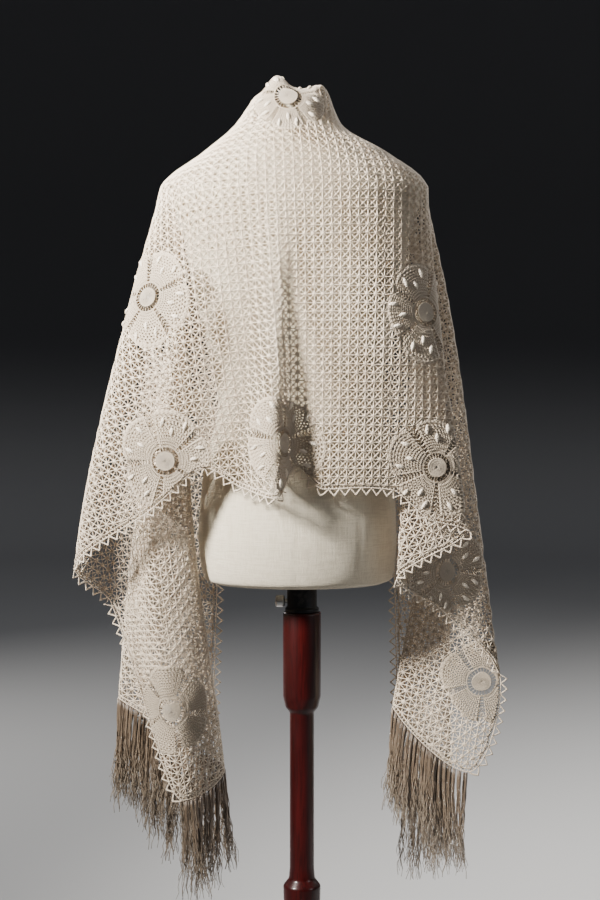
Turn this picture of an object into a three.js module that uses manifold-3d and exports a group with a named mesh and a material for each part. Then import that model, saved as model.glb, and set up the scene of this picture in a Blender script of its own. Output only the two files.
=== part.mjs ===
import * as THREE from 'three';
import { mergeVertices } from 'three/addons/utils/BufferGeometryUtils.js';
import Module from 'manifold-3d';

// Lace shawl on a dress form. Millimetres, +Z up, +Y towards the chest of the form,
// post axis at x = 0, y = 0, floor at z = 0 until the whole is centred at the end.

const wasm = await Module();
wasm.setup();

// Cloth
const CLOTH = 1.8;
const SEAM = 0.45;
const EDGING_GAP = 0.7;
const EDGING_DEPTH = 7.5;
const LOOP_DEPTH = 7;
const LOOP_PITCH = 24;
const EDGING_THICK = 1.4;
const SHARPEST_MITRE = 0.8;
const FRINGE_LENGTH = 158;
const FRINGE_SWAY = 7;
const FRINGE_PITCH = 9;
const FRINGE_HEAD = 5;
const FRINGE_GAP = 0.7;
const FRINGE_THICK = 2.4;

// Flowers: a ring of openings round a solid disc
const RING_RADIUS = 21;
const RING_HOLES = 8;
const HOLE_LONG = 7;
const HOLE_WIDE = 6;
const HOLE_REACH = 5;

// Heights at which the folds are placed
const SHOULDER = 1375;
const BUST = 1230;
const HIP = 850;
const KNEE = 560;
const LEVEL_STEP = 100;

// Rings of cloth from the upper edge over the neck down to the shoulder. Half widths to each
// side, depths to back and front, heights at the back, the side and the front, and how far the
// cloth stands up in a peak left of the nape and in a wider hump right of it.
const RINGS = [
  { x: -15, left: 52, right: 51, back: 8, front: 70, zBack: 1513, zSide: 1509, zFront: 1462, peak: 17, hump: 10 },
  { x: -15, left: 56, right: 55, back: 34, front: 72, zBack: 1515, zSide: 1505, zFront: 1456, peak: 20, hump: 12 },
  { x: -16, left: 64, right: 62, back: 58, front: 74, zBack: 1503, zSide: 1490, zFront: 1446, peak: 0, hump: 0 },
  { x: -18, left: 84, right: 80, back: 70, front: 79, zBack: 1468, zSide: 1462, zFront: 1432, peak: 0, hump: 0 },
  { x: -20, left: 128, right: 148, back: 90, front: 86, zBack: 1425, zSide: 1425, zFront: 1405, peak: 0, hump: 0 },
  { x: -11, left: 199, right: 198, back: 101, front: 94, zBack: SHOULDER, zSide: SHOULDER, zFront: SHOULDER, peak: 0, hump: 0 },
];
const LAST_RING = RINGS.length - 1;
const PEAK_TURN = -23;
const PEAK_WIDTH = 18;
const HUMP_TURN = 52;
const HUMP_WIDTH = 22;

// Fold lines from the left front edge round the back to the right front edge: the angle at
// which each leaves the neck, its x and y at bust, hip and knee height, and its lowest point.
const FOLDS = [
  { name: 'left_edge', turn: -148, bust: [-114, 109], hip: [-132, 106], knee: [-142, 98], low: 446 },
  { name: 'left_inner', turn: -137, bust: [-165, 97], hip: [-200, 100], knee: [-208, 92], low: 515 },
  { name: 'left_under_fold', turn: -126, bust: [-192, 64], hip: [-258, 56], knee: [-286, 60], low: 601 },
  { name: 'left_tail_fold', turn: -113, bust: [-182, 12], hip: [-160, -46], knee: [-124, -10], low: 507 },
  { name: 'left_corner', turn: -103, bust: [-202, -22], hip: [-212, -64], knee: [-182, -64], low: 472 },
  { name: 'left_tail_side', turn: -97, bust: [-214, -14], hip: [-248, -34], knee: [-240, -30], low: 640 },
  { name: 'left_valley', turn: -92, bust: [-222, -8], hip: [-284, -18], knee: [-276, -14], low: 762 },
  { name: 'left_fall_fold', turn: -82, bust: [-246, -40], hip: [-330, -64], knee: [-350, -68], low: 822 },
  { name: 'left_fall', turn: -56, bust: [-190, -86], hip: [-228, -98], knee: [-240, -98], low: 904 },
  { name: 'left_side', turn: -37, bust: [-130, -104], hip: [-146, -102], knee: [-150, -102], low: 968 },
  { name: 'left_back', turn: -21, bust: [-78, -107], hip: [-94, -112], knee: [-94, -112], low: 942 },
  { name: 'ridge', turn: -8, bust: [-38, -120], hip: [-38, -158], knee: [-38, -158], low: 928 },
  { name: 'dip', turn: 0, bust: [-12, -108], hip: [-9, -108], knee: [-9, -108], low: 968 },
  { name: 'right_back', turn: 12, bust: [36, -108], hip: [32, -114], knee: [32, -114], low: 938 },
  { name: 'right_blade', turn: 26, bust: [82, -106], hip: [86, -110], knee: [86, -110], low: 940 },
  { name: 'right_side', turn: 40, bust: [122, -100], hip: [134, -100], knee: [134, -100], low: 936 },
  { name: 'right_fall', turn: 58, bust: [162, -80], hip: [188, -97], knee: [190, -97], low: 892 },
  { name: 'right_fall_fold', turn: 80, bust: [195, -48], hip: [243, -84], knee: [270, -90], low: 874 },
  { name: 'right_valley', turn: 90, bust: [172, -24], hip: [142, -80], knee: [136, -30], low: 806 },
  { name: 'right_under', turn: 95, bust: [196, -6], hip: [206, -36], knee: [214, -18], low: 752 },
  { name: 'right_tail_fold', turn: 101, bust: [214, 6], hip: [270, 0], knee: [308, 0], low: 648 },
  { name: 'right_corner', turn: 108, bust: [204, 28], hip: [232, 24], knee: [248, -8], low: 502 },
  { name: 'right_tail', turn: 118, bust: [184, 38], hip: [182, 40], knee: [134, 26], low: 593 },
  { name: 'right_inner', turn: 133, bust: [188, 76], hip: [226, 78], knee: [230, 76], low: 480 },
  { name: 'right_edge', turn: 148, bust: [106, 110], hip: [144, 106], knee: [152, 98], low: 463 },
];
const fold = (name) => FOLDS.findIndex((entry) => entry.name === name);

// Pieces of the shawl between two folds, with their columns for each fold and their rows
const PIECES = [
  { name: 'shawl_left_tail', from: 'left_edge', to: 'left_valley', columns: 3 },
  { name: 'shawl_left_fall', from: 'left_valley', to: 'left_side', columns: 4 },
  { name: 'shawl_back', from: 'left_side', to: 'right_side', columns: 3 },
  { name: 'shawl_right_fall', from: 'right_side', to: 'right_valley', columns: 4 },
  { name: 'shawl_right_tail', from: 'right_valley', to: 'right_edge', columns: 3 },
];
const NECK_ROWS = 7;
const FALL_ROWS = 10;

// Flower centres: the fold that each lies beside, its share of the way to the next, and height
const FLOWERS = [
  { piece: 'shawl_left_fall', beside: 'left_fall_fold', share: 0.55, z: 1212 },
  { piece: 'shawl_left_fall', beside: 'left_fall', share: 0.25, z: 975 },
  { piece: 'shawl_left_tail', beside: 'left_corner', share: 0.1, z: 590 },
  { piece: 'shawl_back', beside: 'ridge', share: 0.45, z: 1000 },
  { piece: 'shawl_right_fall', beside: 'right_fall', share: 0.25, z: 962 },
  { piece: 'shawl_right_fall', beside: 'right_fall', share: 0.35, z: 1190 },
  { piece: 'shawl_right_tail', beside: 'right_tail_fold', share: 0.45, z: 655 },
  { piece: 'shawl_right_tail', beside: 'right_under', share: 0.1, z: 800 },
];

const lerp = THREE.MathUtils.lerp;
const radians = THREE.MathUtils.degToRad;

// Cubic through four points at uneven places, read at place t between the middle two
function cubicThrough(places, values, t) {
  const [t0, t1, t2, t3] = places;
  const [p0, p1, p2, p3] = values;
  const span = t2 - t1;
  const slope1 = ((p1 - p0) / (t1 - t0) - (p2 - p0) / (t2 - t0) + (p2 - p1) / span) * span;
  const slope2 = ((p2 - p1) / span - (p3 - p1) / (t3 - t1) + (p3 - p2) / (t3 - t2)) * span;
  const s = (t - t1) / span;
  const a = 2 * p1 - 2 * p2 + slope1 + slope2;
  const b = -3 * p1 + 3 * p2 - 2 * slope1 - slope2;
  return ((a * s + b) * s + slope1) * s + p1;
}

// Smooth curve through a row of points, centripetal so that no fold loops over itself
function alongFolds(points, at) {
  const last = points.length - 1;
  const start = Math.min(Math.floor(at), last - 1);
  const pick = (index) => points[THREE.MathUtils.clamp(index, 0, last)];
  const four = [pick(start - 1), pick(start), pick(start + 1), pick(start + 2)];
  if (start === 0) four[0] = four[1].clone().multiplyScalar(2).sub(four[2]);
  if (start + 2 > last) four[3] = four[2].clone().multiplyScalar(2).sub(four[1]);
  const places = [0];
  for (let i = 1; i < 4; i += 1) {
    places.push(places[i - 1] + Math.max(Math.sqrt(four[i].distanceTo(four[i - 1])), 1e-3));
  }
  const t = lerp(places[1], places[2], at - start);
  const axis = (key) => cubicThrough(places, four.map((point) => point[key]), t);
  return new THREE.Vector3(axis('x'), axis('y'), axis('z'));
}

// A value of the fold table at any place along the section
function foldValue(key, at) {
  const points = FOLDS.map((entry, index) => new THREE.Vector3(index, entry[key], 0));
  return alongFolds(points, at).y;
}

const bell = (from, width) => Math.exp(-((from / width) ** 2));

function ringPoint(ring, turn) {
  const angle = radians(turn);
  const x = ring.x + (turn < 0 ? ring.left : ring.right) * Math.sin(angle);
  const y = -(Math.cos(angle) > 0 ? ring.back : ring.front) * Math.cos(angle);
  const quarter = Math.abs(turn) / 90;
  const even = quarter < 1
    ? lerp(ring.zBack, ring.zSide, quarter ** 2)
    : lerp(ring.zSide, ring.zFront, Math.min(quarter - 1, 1));
  const peak = ring.peak * bell(turn - PEAK_TURN, PEAK_WIDTH);
  const hump = ring.hump * bell(turn - HUMP_TURN, HUMP_WIDTH);
  return new THREE.Vector3(x, y, even + peak + hump);
}

// Where a fold line stands at a height at or below the shoulder
function foldAt(entry, z) {
  const top = ringPoint(RINGS[LAST_RING], entry.turn);
  const heights = [SHOULDER + 60, SHOULDER, BUST, HIP, KNEE, KNEE - 200];
  const along = (key, top_, index) => {
    const [bust, hip, knee] = [entry.bust[index], entry.hip[index], entry.knee[index]];
    const above = top_ + (top_ - bust) * 0.3;
    const below = knee + (knee - hip) * 0.6;
    const values = [above, top_, bust, hip, knee, below];
    let i = 1;
    while (i < 3 && z < heights[i + 1]) i += 1;
    return cubicThrough(heights.slice(i - 1, i + 3), values.slice(i - 1, i + 3), z);
  };
  return new THREE.Vector3(along('x', top.x, 0), along('y', top.y, 1), z);
}

// A point of the cloth: the place across the folds, and the level, which counts the rings
// down to the shoulder and then each 100 mm of height
function cloth(across, level) {
  if (level >= LAST_RING) {
    const z = SHOULDER - (level - LAST_RING) * LEVEL_STEP;
    return alongFolds(FOLDS.map((entry) => foldAt(entry, z)), across);
  }
  const turn = foldValue('turn', across);
  const points = RINGS.map((ring) => ringPoint(ring, turn));
  points[LAST_RING] = cloth(across, LAST_RING);
  points.push(cloth(across, LAST_RING + (SHOULDER - BUST) / LEVEL_STEP));
  return alongFolds(points, level);
}

// Unit directions across and down the cloth, how fast each runs, and the outward direction
function clothFrame(across, level) {
  const step = 1e-3;
  const a = Math.min(across, FOLDS.length - 1 - step);
  const v = Math.max(level, 0);
  const here = cloth(a, v);
  const right = cloth(a + step, v).sub(here).divideScalar(step);
  const down = cloth(a, v + step).sub(here).divideScalar(step);
  const outward = down.clone().cross(right).normalize();
  return { here, right, down, outward };
}

const lowLevel = (across) => LAST_RING + (SHOULDER - foldValue('low', across)) / LEVEL_STEP;

// Level of a row of the wall: the first rows go round the neck, the rest down to the hem
const rowLevel = (row, across) => (row < NECK_ROWS
  ? LAST_RING * row / NECK_ROWS
  : lerp(LAST_RING, lowLevel(across), (row - NECK_ROWS) / FALL_ROWS));

// Closed solid from a grid of outer and inner points, with rims on its four sides
function solidFromSheets(outer, inner) {
  const rows = outer.length;
  const columns = outer[0].length;
  const points = [...outer.flat(), ...inner.flat()];
  const offset = rows * columns;
  const triangles = [];
  const quad = (a, b, c, d) => triangles.push(a, b, c, a, c, d);
  const at = (row, column) => row * columns + column;
  for (let i = 0; i < rows - 1; i += 1) {
    for (let j = 0; j < columns - 1; j += 1) {
      quad(at(i, j), at(i + 1, j), at(i + 1, j + 1), at(i, j + 1));
      quad(offset + at(i, j), offset + at(i, j + 1), offset + at(i + 1, j + 1), offset + at(i + 1, j));
    }
  }
  for (let j = 0; j < columns - 1; j += 1) {
    const [a, b, c, d] = [at(0, j), at(0, j + 1), at(rows - 1, j), at(rows - 1, j + 1)];
    quad(a, b, offset + b, offset + a);
    quad(d, c, offset + c, offset + d);
  }
  for (let i = 0; i < rows - 1; i += 1) {
    const [a, b, c, d] = [at(i, 0), at(i + 1, 0), at(i, columns - 1), at(i + 1, columns - 1)];
    quad(a, offset + a, offset + b, b);
    quad(c, d, offset + d, offset + c);
  }
  return geometryFrom(points, triangles);
}

function geometryFrom(points, triangles) {
  const geometry = new THREE.BufferGeometry();
  geometry.setAttribute('position', new THREE.Float32BufferAttribute(points.flatMap((p) => [p.x, p.y, p.z]), 3));
  geometry.setIndex(triangles);
  return geometry;
}

// manifold-3d solid from a closed geometry, and back
function toManifold(geometry) {
  const bare = geometry.clone();
  bare.deleteAttribute('normal');
  bare.deleteAttribute('uv');
  const merged = mergeVertices(bare, 1e-4);
  return new wasm.Manifold(new wasm.Mesh({
    numProp: 3,
    vertProperties: new Float32Array(merged.attributes.position.array),
    triVerts: new Uint32Array(merged.index.array),
  }));
}

function fromManifold(solid) {
  const mesh = solid.getMesh();
  const geometry = new THREE.BufferGeometry();
  geometry.setAttribute('position', new THREE.BufferAttribute(new Float32Array(mesh.vertProperties), 3));
  geometry.setIndex(new THREE.BufferAttribute(new Uint32Array(mesh.triVerts), 1));
  return geometry;
}

const cut = (geometry, tools) => fromManifold(
  tools.reduce((solid, tool) => solid.subtract(toManifold(tool)), toManifold(geometry)),
);

// One stretch of the lace, a wall on both sides of its middle surface
function lacePiece(piece) {
  const start = fold(piece.from);
  const end = fold(piece.to);
  const columns = (end - start) * piece.columns;
  const outer = [];
  const inner = [];
  for (let i = 0; i <= NECK_ROWS + FALL_ROWS; i += 1) {
    const rowOut = [];
    const rowIn = [];
    for (let j = 0; j <= columns; j += 1) {
      let across = start + j / piece.columns;
      const level = rowLevel(i, across);
      const side = j === 0 ? 1 : (j === columns ? -1 : 0);
      across += side * 0.5 * SEAM / clothFrame(across, level).right.length();
      const { here, outward } = clothFrame(across, level);
      rowOut.push(here.clone().addScaledVector(outward, CLOTH / 2));
      rowIn.push(here.clone().addScaledVector(outward, -CLOTH / 2));
    }
    outer.push(rowOut);
    inner.push(rowIn);
  }
  const wall = solidFromSheets(outer, inner);
  const holes = FLOWERS.filter((flower) => flower.piece === piece.name).flatMap(flowerHoles);
  return holes.length ? cut(wall, holes) : wall;
}

// The openings of one flower, each a small block that follows the cloth and passes through it
function flowerHoles(flower) {
  const across = fold(flower.beside) + flower.share;
  const level = LAST_RING + (SHOULDER - flower.z) / LEVEL_STEP;
  const { right, down } = clothFrame(across, level);
  const skew = right.dot(down) / right.length();
  const place = (x, y) => {
    const dv = y / Math.sqrt(down.lengthSq() - skew ** 2);
    const da = (x - dv * skew) / right.length();
    return clothFrame(across + da, level + dv);
  };
  const holes = [];
  for (let k = 0; k < RING_HOLES; k += 1) {
    const angle = 2 * Math.PI * k / RING_HOLES;
    const corner = (along, side) => place(
      (RING_RADIUS + along) * Math.cos(angle) - side * Math.sin(angle),
      (RING_RADIUS + along) * Math.sin(angle) + side * Math.cos(angle),
    );
    const frames = [
      corner(-HOLE_LONG / 2, 0), corner(0, HOLE_WIDE / 2),
      corner(HOLE_LONG / 2, 0), corner(0, -HOLE_WIDE / 2),
    ];
    const reach = (frame, far) => frame.here.clone().addScaledVector(frame.outward, far);
    const near = frames.map((frame) => reach(frame, HOLE_REACH));
    const back = frames.map((frame) => reach(frame, -HOLE_REACH));
    const hole = geometryFrom([...near, ...back], [
      0, 1, 2, 0, 2, 3, 4, 6, 5, 4, 7, 6,
      0, 5, 1, 0, 4, 5, 1, 6, 2, 1, 5, 6,
      2, 7, 3, 2, 6, 7, 3, 4, 0, 3, 7, 4,
    ]);
    holes.push(hole);
  }
  return holes;
}

// Corner points of one border of the wall, with the way out of the cloth at each. The rough way
// out is a multiple of the direction down or across the cloth.
function border(places, key, sign) {
  const frames = places.map(([across, level]) => clothFrame(across, level));
  const ways = frames.slice(1).map((frame, i) => {
    const along = frame.here.clone().sub(frames[i].here).normalize();
    const rough = frame[key].clone().add(frames[i][key]).multiplyScalar(sign);
    return rough.addScaledVector(along, -rough.dot(along)).normalize();
  });
  return frames.map((frame, i) => {
    const away = ways[Math.max(i - 1, 0)].clone().add(ways[Math.min(i, ways.length - 1)]);
    away.multiplyScalar(2 / Math.max(away.lengthSq(), SHARPEST_MITRE));
    return { here: frame.here, outward: frame.outward, away };
  });
}

// Stations along a border, so many parts for each pitch, with one at each corner of the wall
function stationsAlong(corners, pitch, parts) {
  const mix = (a, b, share) => ({
    here: a.here.clone().lerp(b.here, share),
    outward: a.outward.clone().lerp(b.outward, share).normalize(),
    away: a.away.clone().lerp(b.away, share),
  });
  const last = corners.length - 1;
  const inset = (a, b) => mix(a, b, SEAM / 2 / a.here.distanceTo(b.here));
  const spots = [inset(corners[0], corners[1]), ...corners.slice(1, last), inset(corners[last], corners[last - 1])];
  const stations = [spots[0]];
  for (let i = 1; i < spots.length; i += 1) {
    const [a, b] = [spots[i - 1], spots[i]];
    const steps = parts * Math.max(Math.round(a.here.distanceTo(b.here) / pitch), 1);
    for (let k = 1; k <= steps; k += 1) stations.push(mix(a, b, k / steps));
  }
  return stations;
}

// A point beside a border station: so far out of the cloth, and to one side of its middle
const beside = (station, out, lift) => station.here.clone()
  .addScaledVector(station.away, out)
  .addScaledVector(station.outward, lift);

// Crocheted edging: a band with a row of pointed loops along its outer side
function edging(corners, flip) {
  const stations = stationsAlong(corners, LOOP_PITCH, 2);
  const points = [];
  const triangles = [];
  const face = (a, b, c) => triangles.push(...(flip > 0 ? [a, b, c] : [a, c, b]));
  const band = EDGING_GAP + EDGING_DEPTH;
  stations.forEach((station, k) => {
    for (const out of k % 2 ? [band + LOOP_DEPTH] : [EDGING_GAP, band]) {
      for (const side of [1, -1]) points.push(beside(station, out, side * EDGING_THICK / 2));
    }
  });
  const loops = (stations.length - 1) / 2;
  for (let k = 0; k < loops; k += 1) {
    const [r, s, b, c, t, u, r2, s2, b2, c2] = Array.from({ length: 10 }, (_, n) => 6 * k + n);
    face(r, b, t); face(r, t, r2); face(r2, t, b2);
    face(s, u, c); face(s, s2, u); face(s2, c2, u);
    face(b, c, u); face(b, u, t);
    face(t, u, c2); face(t, c2, b2);
    face(r, r2, s2); face(r, s2, s);
  }
  const last = 6 * loops;
  face(0, 1, 3); face(0, 3, 2);
  face(last, last + 2, last + 3); face(last, last + 3, last + 1);
  return geometryFrom(points, triangles);
}

// Fringe: a narrow head below the end of the cloth, with a tapered strand from every root
function fringe(corners) {
  const stations = stationsAlong(corners, FRINGE_PITCH, 2);
  const points = [];
  const triangles = [];
  const face = (a, b, c) => triangles.push(a, b, c);
  const quad = (a, b, c, d) => { face(a, b, c); face(a, c, d); };
  for (const station of stations) {
    for (const out of [FRINGE_GAP, FRINGE_GAP + FRINGE_HEAD]) {
      for (const side of [1, -1]) points.push(beside(station, out, side * FRINGE_THICK / 2));
    }
  }
  for (let k = 0; k < stations.length - 1; k += 1) {
    const [r, s, b, c, r2, s2, b2, c2] = Array.from({ length: 8 }, (_, n) => 4 * k + n);
    quad(r, b, b2, r2);
    quad(s, s2, c2, c);
    quad(r, r2, s2, s);
    if (k % 2) {
      quad(b, c, c2, b2);
    } else {
      const sway = FRINGE_SWAY * Math.sin(2.1 * k);
      const length = FRINGE_LENGTH * (0.94 + 0.06 * Math.sin(3.7 * k));
      const tip = points[b].clone().lerp(points[c2], 0.5).add(new THREE.Vector3(sway, 0.5 * sway, -length));
      const end = points.push(tip) - 1;
      face(b, c, end); face(c, c2, end); face(c2, b2, end); face(b2, b, end);
    }
  }
  const last = 4 * (stations.length - 1);
  quad(0, 1, 3, 2);
  quad(last, last + 2, last + 3, last + 1);
  return geometryFrom(points, triangles);
}

// Borders of the wall: along its lower edge between two folds, down a front edge, and round
// the collar
function lowerEdge(from, to) {
  const columnsAfter = (k) => PIECES.find((piece) => k >= fold(piece.from) && k < fold(piece.to)).columns;
  const places = [];
  for (let k = fold(from); k < fold(to); k += 1) {
    for (let j = 0; j < columnsAfter(k); j += 1) places.push(k + j / columnsAfter(k));
  }
  places.push(fold(to));
  return border(places.map((across) => [across, lowLevel(across)]), 'down', 1);
}

function frontEdge(name, sign) {
  const rows = Array.from({ length: NECK_ROWS + FALL_ROWS + 1 }, (_, row) => row);
  return border(rows.map((row) => [fold(name), rowLevel(row, fold(name))]), 'right', sign);
}

const collarEdge = () => border(FOLDS.map((_, across) => [across, 0]), 'down', -1);

// Stretch of a lower edge between two of the places where the pieces meet
function stretch(corners, low, high) {
  const near = (name) => {
    const mark = cloth(fold(name), lowLevel(fold(name)));
    return corners.findIndex((corner) => corner.here.distanceTo(mark) < SEAM);
  };
  return corners.slice(near(low), near(high) + 1);
}

// Dress form: centre, half width, depths to back and front at each height
const FORM_RINGS = [
  { z: 786, x: -6, half: 128, back: 88, front: 80 },
  { z: 793, x: -6, half: 141, back: 98, front: 90 },
  { z: 850, x: -7, half: 149, back: 106, front: 98 },
  { z: 950, x: -6, half: 142, back: 98, front: 96 },
  { z: 1060, x: -4, half: 121, back: 80, front: 88 },
  { z: 1150, x: -6, half: 139, back: 90, front: 116 },
  { z: 1225, x: -7, half: 155, back: 95, front: 130 },
  { z: 1310, x: -9, half: 170, back: 93, front: 104 },
  { z: 1366, x: -11.9, half: 191.1, back: 82, front: 74 },
  { z: 1384, x: -11.4, half: 185.4, back: 74, front: 64 },
  { z: 1402, x: -11.4, half: 154.4, back: 66, front: 60 },
  { z: 1420, x: -12, half: 124, back: 60, front: 56 },
  { z: 1440, x: -13, half: 92, back: 57, front: 54 },
  { z: 1472, x: -14, half: 54, back: 50, front: 50 },
  { z: 1497, x: -14, half: 49, back: 47, front: 47 },
];
const FORM_SIDES = 24;
const POLE_RADIUS = 11;
const POLE_TOP = 900;
const POLE_BOTTOM = 480;
const SLIDE_GAP = 0.4;
const BOOLEAN_SIDES = 24;

function stackedRings(rings, sides) {
  const points = [];
  const triangles = [];
  rings.forEach((ring) => {
    for (let k = 0; k < sides; k += 1) {
      const angle = 2 * Math.PI * k / sides;
      const depth = Math.sin(angle) < 0 ? ring.back : ring.front;
      points.push(new THREE.Vector3(ring.x + ring.half * Math.cos(angle), depth * Math.sin(angle), ring.z));
    }
  });
  const centre = (ring) => points.push(new THREE.Vector3(ring.x, 0, ring.z)) - 1;
  const bottom = centre(rings[0]);
  const top = centre(rings[rings.length - 1]);
  const lastRow = (rings.length - 1) * sides;
  for (let k = 0; k < sides; k += 1) {
    const next = (k + 1) % sides;
    triangles.push(bottom, next, k, top, lastRow + k, lastRow + next);
    for (let i = 0; i < rings.length - 1; i += 1) {
      const [a, b] = [i * sides + k, i * sides + next];
      triangles.push(a, b, b + sides, a, b + sides, a + sides);
    }
  }
  return geometryFrom(points, triangles);
}

// Turned piece: a closed profile of radius and height pairs, spun round the post axis
function turned(profile, sides = BOOLEAN_SIDES) {
  const points = profile.map(([radius, height]) => new THREE.Vector2(radius, height));
  const geometry = new THREE.LatheGeometry(points, sides);
  geometry.rotateX(Math.PI / 2);
  return geometry;
}

const bore = (radius, low, high, sides = BOOLEAN_SIDES) =>
  turned([[0, low], [radius, low], [radius, high], [0, high]], sides);

function torso() {
  return cut(stackedRings(FORM_RINGS, FORM_SIDES), [
    bore(POLE_RADIUS + SLIDE_GAP, FORM_RINGS[0].z - 10, POLE_TOP + SEAM),
  ]);
}

// Wooden cap that closes the neck
const CAP_BOTTOM = FORM_RINGS[FORM_RINGS.length - 1].z + SEAM;
function neckCap() {
  const cap = turned([
    [0, CAP_BOTTOM], [42, CAP_BOTTOM], [43, CAP_BOTTOM + 3], [40, CAP_BOTTOM + 6],
    [26, CAP_BOTTOM + 9], [0, CAP_BOTTOM + 10],
  ]);
  cap.translate(FORM_RINGS[FORM_RINGS.length - 1].x, 0, 0);
  return cap;
}

// Stand: hub, post and sleeve turned in one, with the socket of the pole bored from the top
const SLEEVE_TOP = 741;
const SLEEVE_RADIUS = 28.5;
const POST_RADIUS = 18.5;
const SOCKET_BOTTOM = 470;
const HUB_BOTTOM = 150;
function stand() {
  const socket = POLE_RADIUS + SLIDE_GAP;
  return turned([
    [0, HUB_BOTTOM], [26, HUB_BOTTOM], [34, HUB_BOTTOM + 10], [34, 262],
    [23, 284], [28, 300], [28.5, 322], [20, 333], [POST_RADIUS, 350],
    [POST_RADIUS, 588], [25, 596], [SLEEVE_RADIUS, 612], [SLEEVE_RADIUS, SLEEVE_TOP],
    [socket, SLEEVE_TOP], [socket, SOCKET_BOTTOM], [0, SOCKET_BOTTOM],
  ]);
}

// Pole: a steel tube that rises out of the sleeve with the form on its top
function pole() {
  return turned([
    [0, POLE_BOTTOM], [POLE_RADIUS, POLE_BOTTOM], [POLE_RADIUS, POLE_TOP], [0, POLE_TOP],
  ]);
}

// Clamp: a collar on the sleeve, with a cross hole for the screw
const CLAMP_BOTTOM = SLEEVE_TOP + SEAM;
const CLAMP_TOP = 782;
const CLAMP_RADIUS = 22.5;
const SCREW_HEIGHT = 757;
const SCREW_RADIUS = 3.6;
const SCREW_HOLE = 4.1;
const KNOB_RADIUS = 9;
const KNOB_FROM = 24;
const KNOB_TO = 40;
function clampCollar() {
  const ring = turned([
    [POLE_RADIUS + SLIDE_GAP, CLAMP_BOTTOM], [CLAMP_RADIUS + 3, CLAMP_BOTTOM],
    [CLAMP_RADIUS + 3, CLAMP_BOTTOM + 5], [CLAMP_RADIUS, CLAMP_BOTTOM + 8],
    [CLAMP_RADIUS, CLAMP_TOP - 4], [CLAMP_RADIUS - 3, CLAMP_TOP], [POLE_RADIUS + SLIDE_GAP, CLAMP_TOP],
    [POLE_RADIUS + SLIDE_GAP, CLAMP_BOTTOM],
  ]);
  const hole = new THREE.CylinderGeometry(SCREW_HOLE, SCREW_HOLE, 40, 12);
  hole.rotateZ(Math.PI / 2);
  hole.translate(-CLAMP_RADIUS - 4, 0, SCREW_HEIGHT);
  return cut(ring, [hole]);
}

function clampScrew() {
  const tip = POLE_RADIUS + SLIDE_GAP;
  const profile = [
    [0, tip], [SCREW_RADIUS, tip], [SCREW_RADIUS, KNOB_FROM + 2], [KNOB_RADIUS - 1, KNOB_FROM + 2],
    [KNOB_RADIUS, KNOB_FROM + 4], [KNOB_RADIUS, KNOB_TO - 2], [KNOB_RADIUS - 2, KNOB_TO], [0, KNOB_TO],
  ];
  const screw = turned(profile, 12);
  screw.rotateY(-Math.PI / 2);
  screw.translate(0, 0, SCREW_HEIGHT);
  return screw;
}

// Curved wooden leg, cut from a board, with a flat pad at the foot
const LEG_THICK = 26;
const LEG_REACH = 292;
const LEG_ROOT = 34.3;
function leg(turn) {
  const shape = new THREE.Shape();
  shape.moveTo(LEG_ROOT, 160);
  shape.bezierCurveTo(110, 150, 150, 10, 236, 0);
  shape.lineTo(LEG_REACH - 8, 0);
  shape.quadraticCurveTo(LEG_REACH, 2, LEG_REACH - 2, 14);
  shape.bezierCurveTo(210, 24, 170, 200, LEG_ROOT, 212);
  shape.closePath();
  const geometry = new THREE.ExtrudeGeometry(shape, {
    depth: LEG_THICK, bevelEnabled: false, curveSegments: 9,
  });
  geometry.translate(0, 0, -LEG_THICK / 2);
  geometry.rotateX(Math.PI / 2);
  geometry.rotateZ(radians(turn));
  return geometry;
}

// Finishes
const finish = (color, roughness, metalness = 0) => new THREE.MeshStandardMaterial({
  color, roughness, metalness, side: THREE.FrontSide,
});
const LACE = finish(0xd8cbb2, 0.85);
const SILK = finish(0xb39a78, 0.6);
const LINEN = finish(0xcdbf9f, 0.9);
const MAHOGANY = finish(0x5a2418, 0.4);
const BLACK_IRON = finish(0x17161a, 0.45, 0.6);
const STEEL = finish(0xb9bcc0, 0.3, 1);

const whole = new THREE.Group();
const object = new THREE.Group();
whole.add(object);
function add(name, geometry, material) {
  const mesh = new THREE.Mesh(geometry, material);
  mesh.name = name;
  object.add(mesh);
}

for (const piece of PIECES) add(piece.name, lacePiece(piece), LACE);
const hem = lowerEdge('left_corner', 'right_corner');
add('edging_hem_left', edging(stretch(hem, 'left_corner', 'left_side'), 1), LACE);
add('edging_hem_back', edging(stretch(hem, 'left_side', 'right_side'), 1), LACE);
add('edging_hem_right', edging(stretch(hem, 'right_side', 'right_corner'), 1), LACE);
add('edging_front_left', edging(frontEdge('left_edge', -1), 1), LACE);
add('edging_front_right', edging(frontEdge('right_edge', 1), -1), LACE);
add('edging_collar', edging(collarEdge(), -1), LACE);
add('fringe_left', fringe(lowerEdge('left_edge', 'left_corner')), SILK);
add('fringe_right', fringe(lowerEdge('right_corner', 'right_edge')), SILK);
add('form_torso', torso(), LINEN);
add('neck_cap', neckCap(), MAHOGANY);
add('pole', pole(), STEEL);
add('clamp_collar', clampCollar(), BLACK_IRON);
add('clamp_screw', clampScrew(), STEEL);
add('stand_post', stand(), MAHOGANY);
[90, 210, 330].forEach((turn, index) => add(`leg_${index + 1}`, leg(turn), MAHOGANY));

// Centre the whole over its base
const bounds = new THREE.Box3().setFromObject(object);
object.position.set(-(bounds.min.x + bounds.max.x) / 2, -(bounds.min.y + bounds.max.y) / 2, -bounds.min.z);

export default whole;
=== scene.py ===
"""Lace shawl draped over a linen dress form on a turned stand, finished round the fixed frame.

Sizes in the tables are millimetres: +Z up, +Y towards the chest of the form, post axis at x = 0, y = 0.
They are moved to the frame and turned to metres when a mesh is made.
"""

from __future__ import annotations

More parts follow.
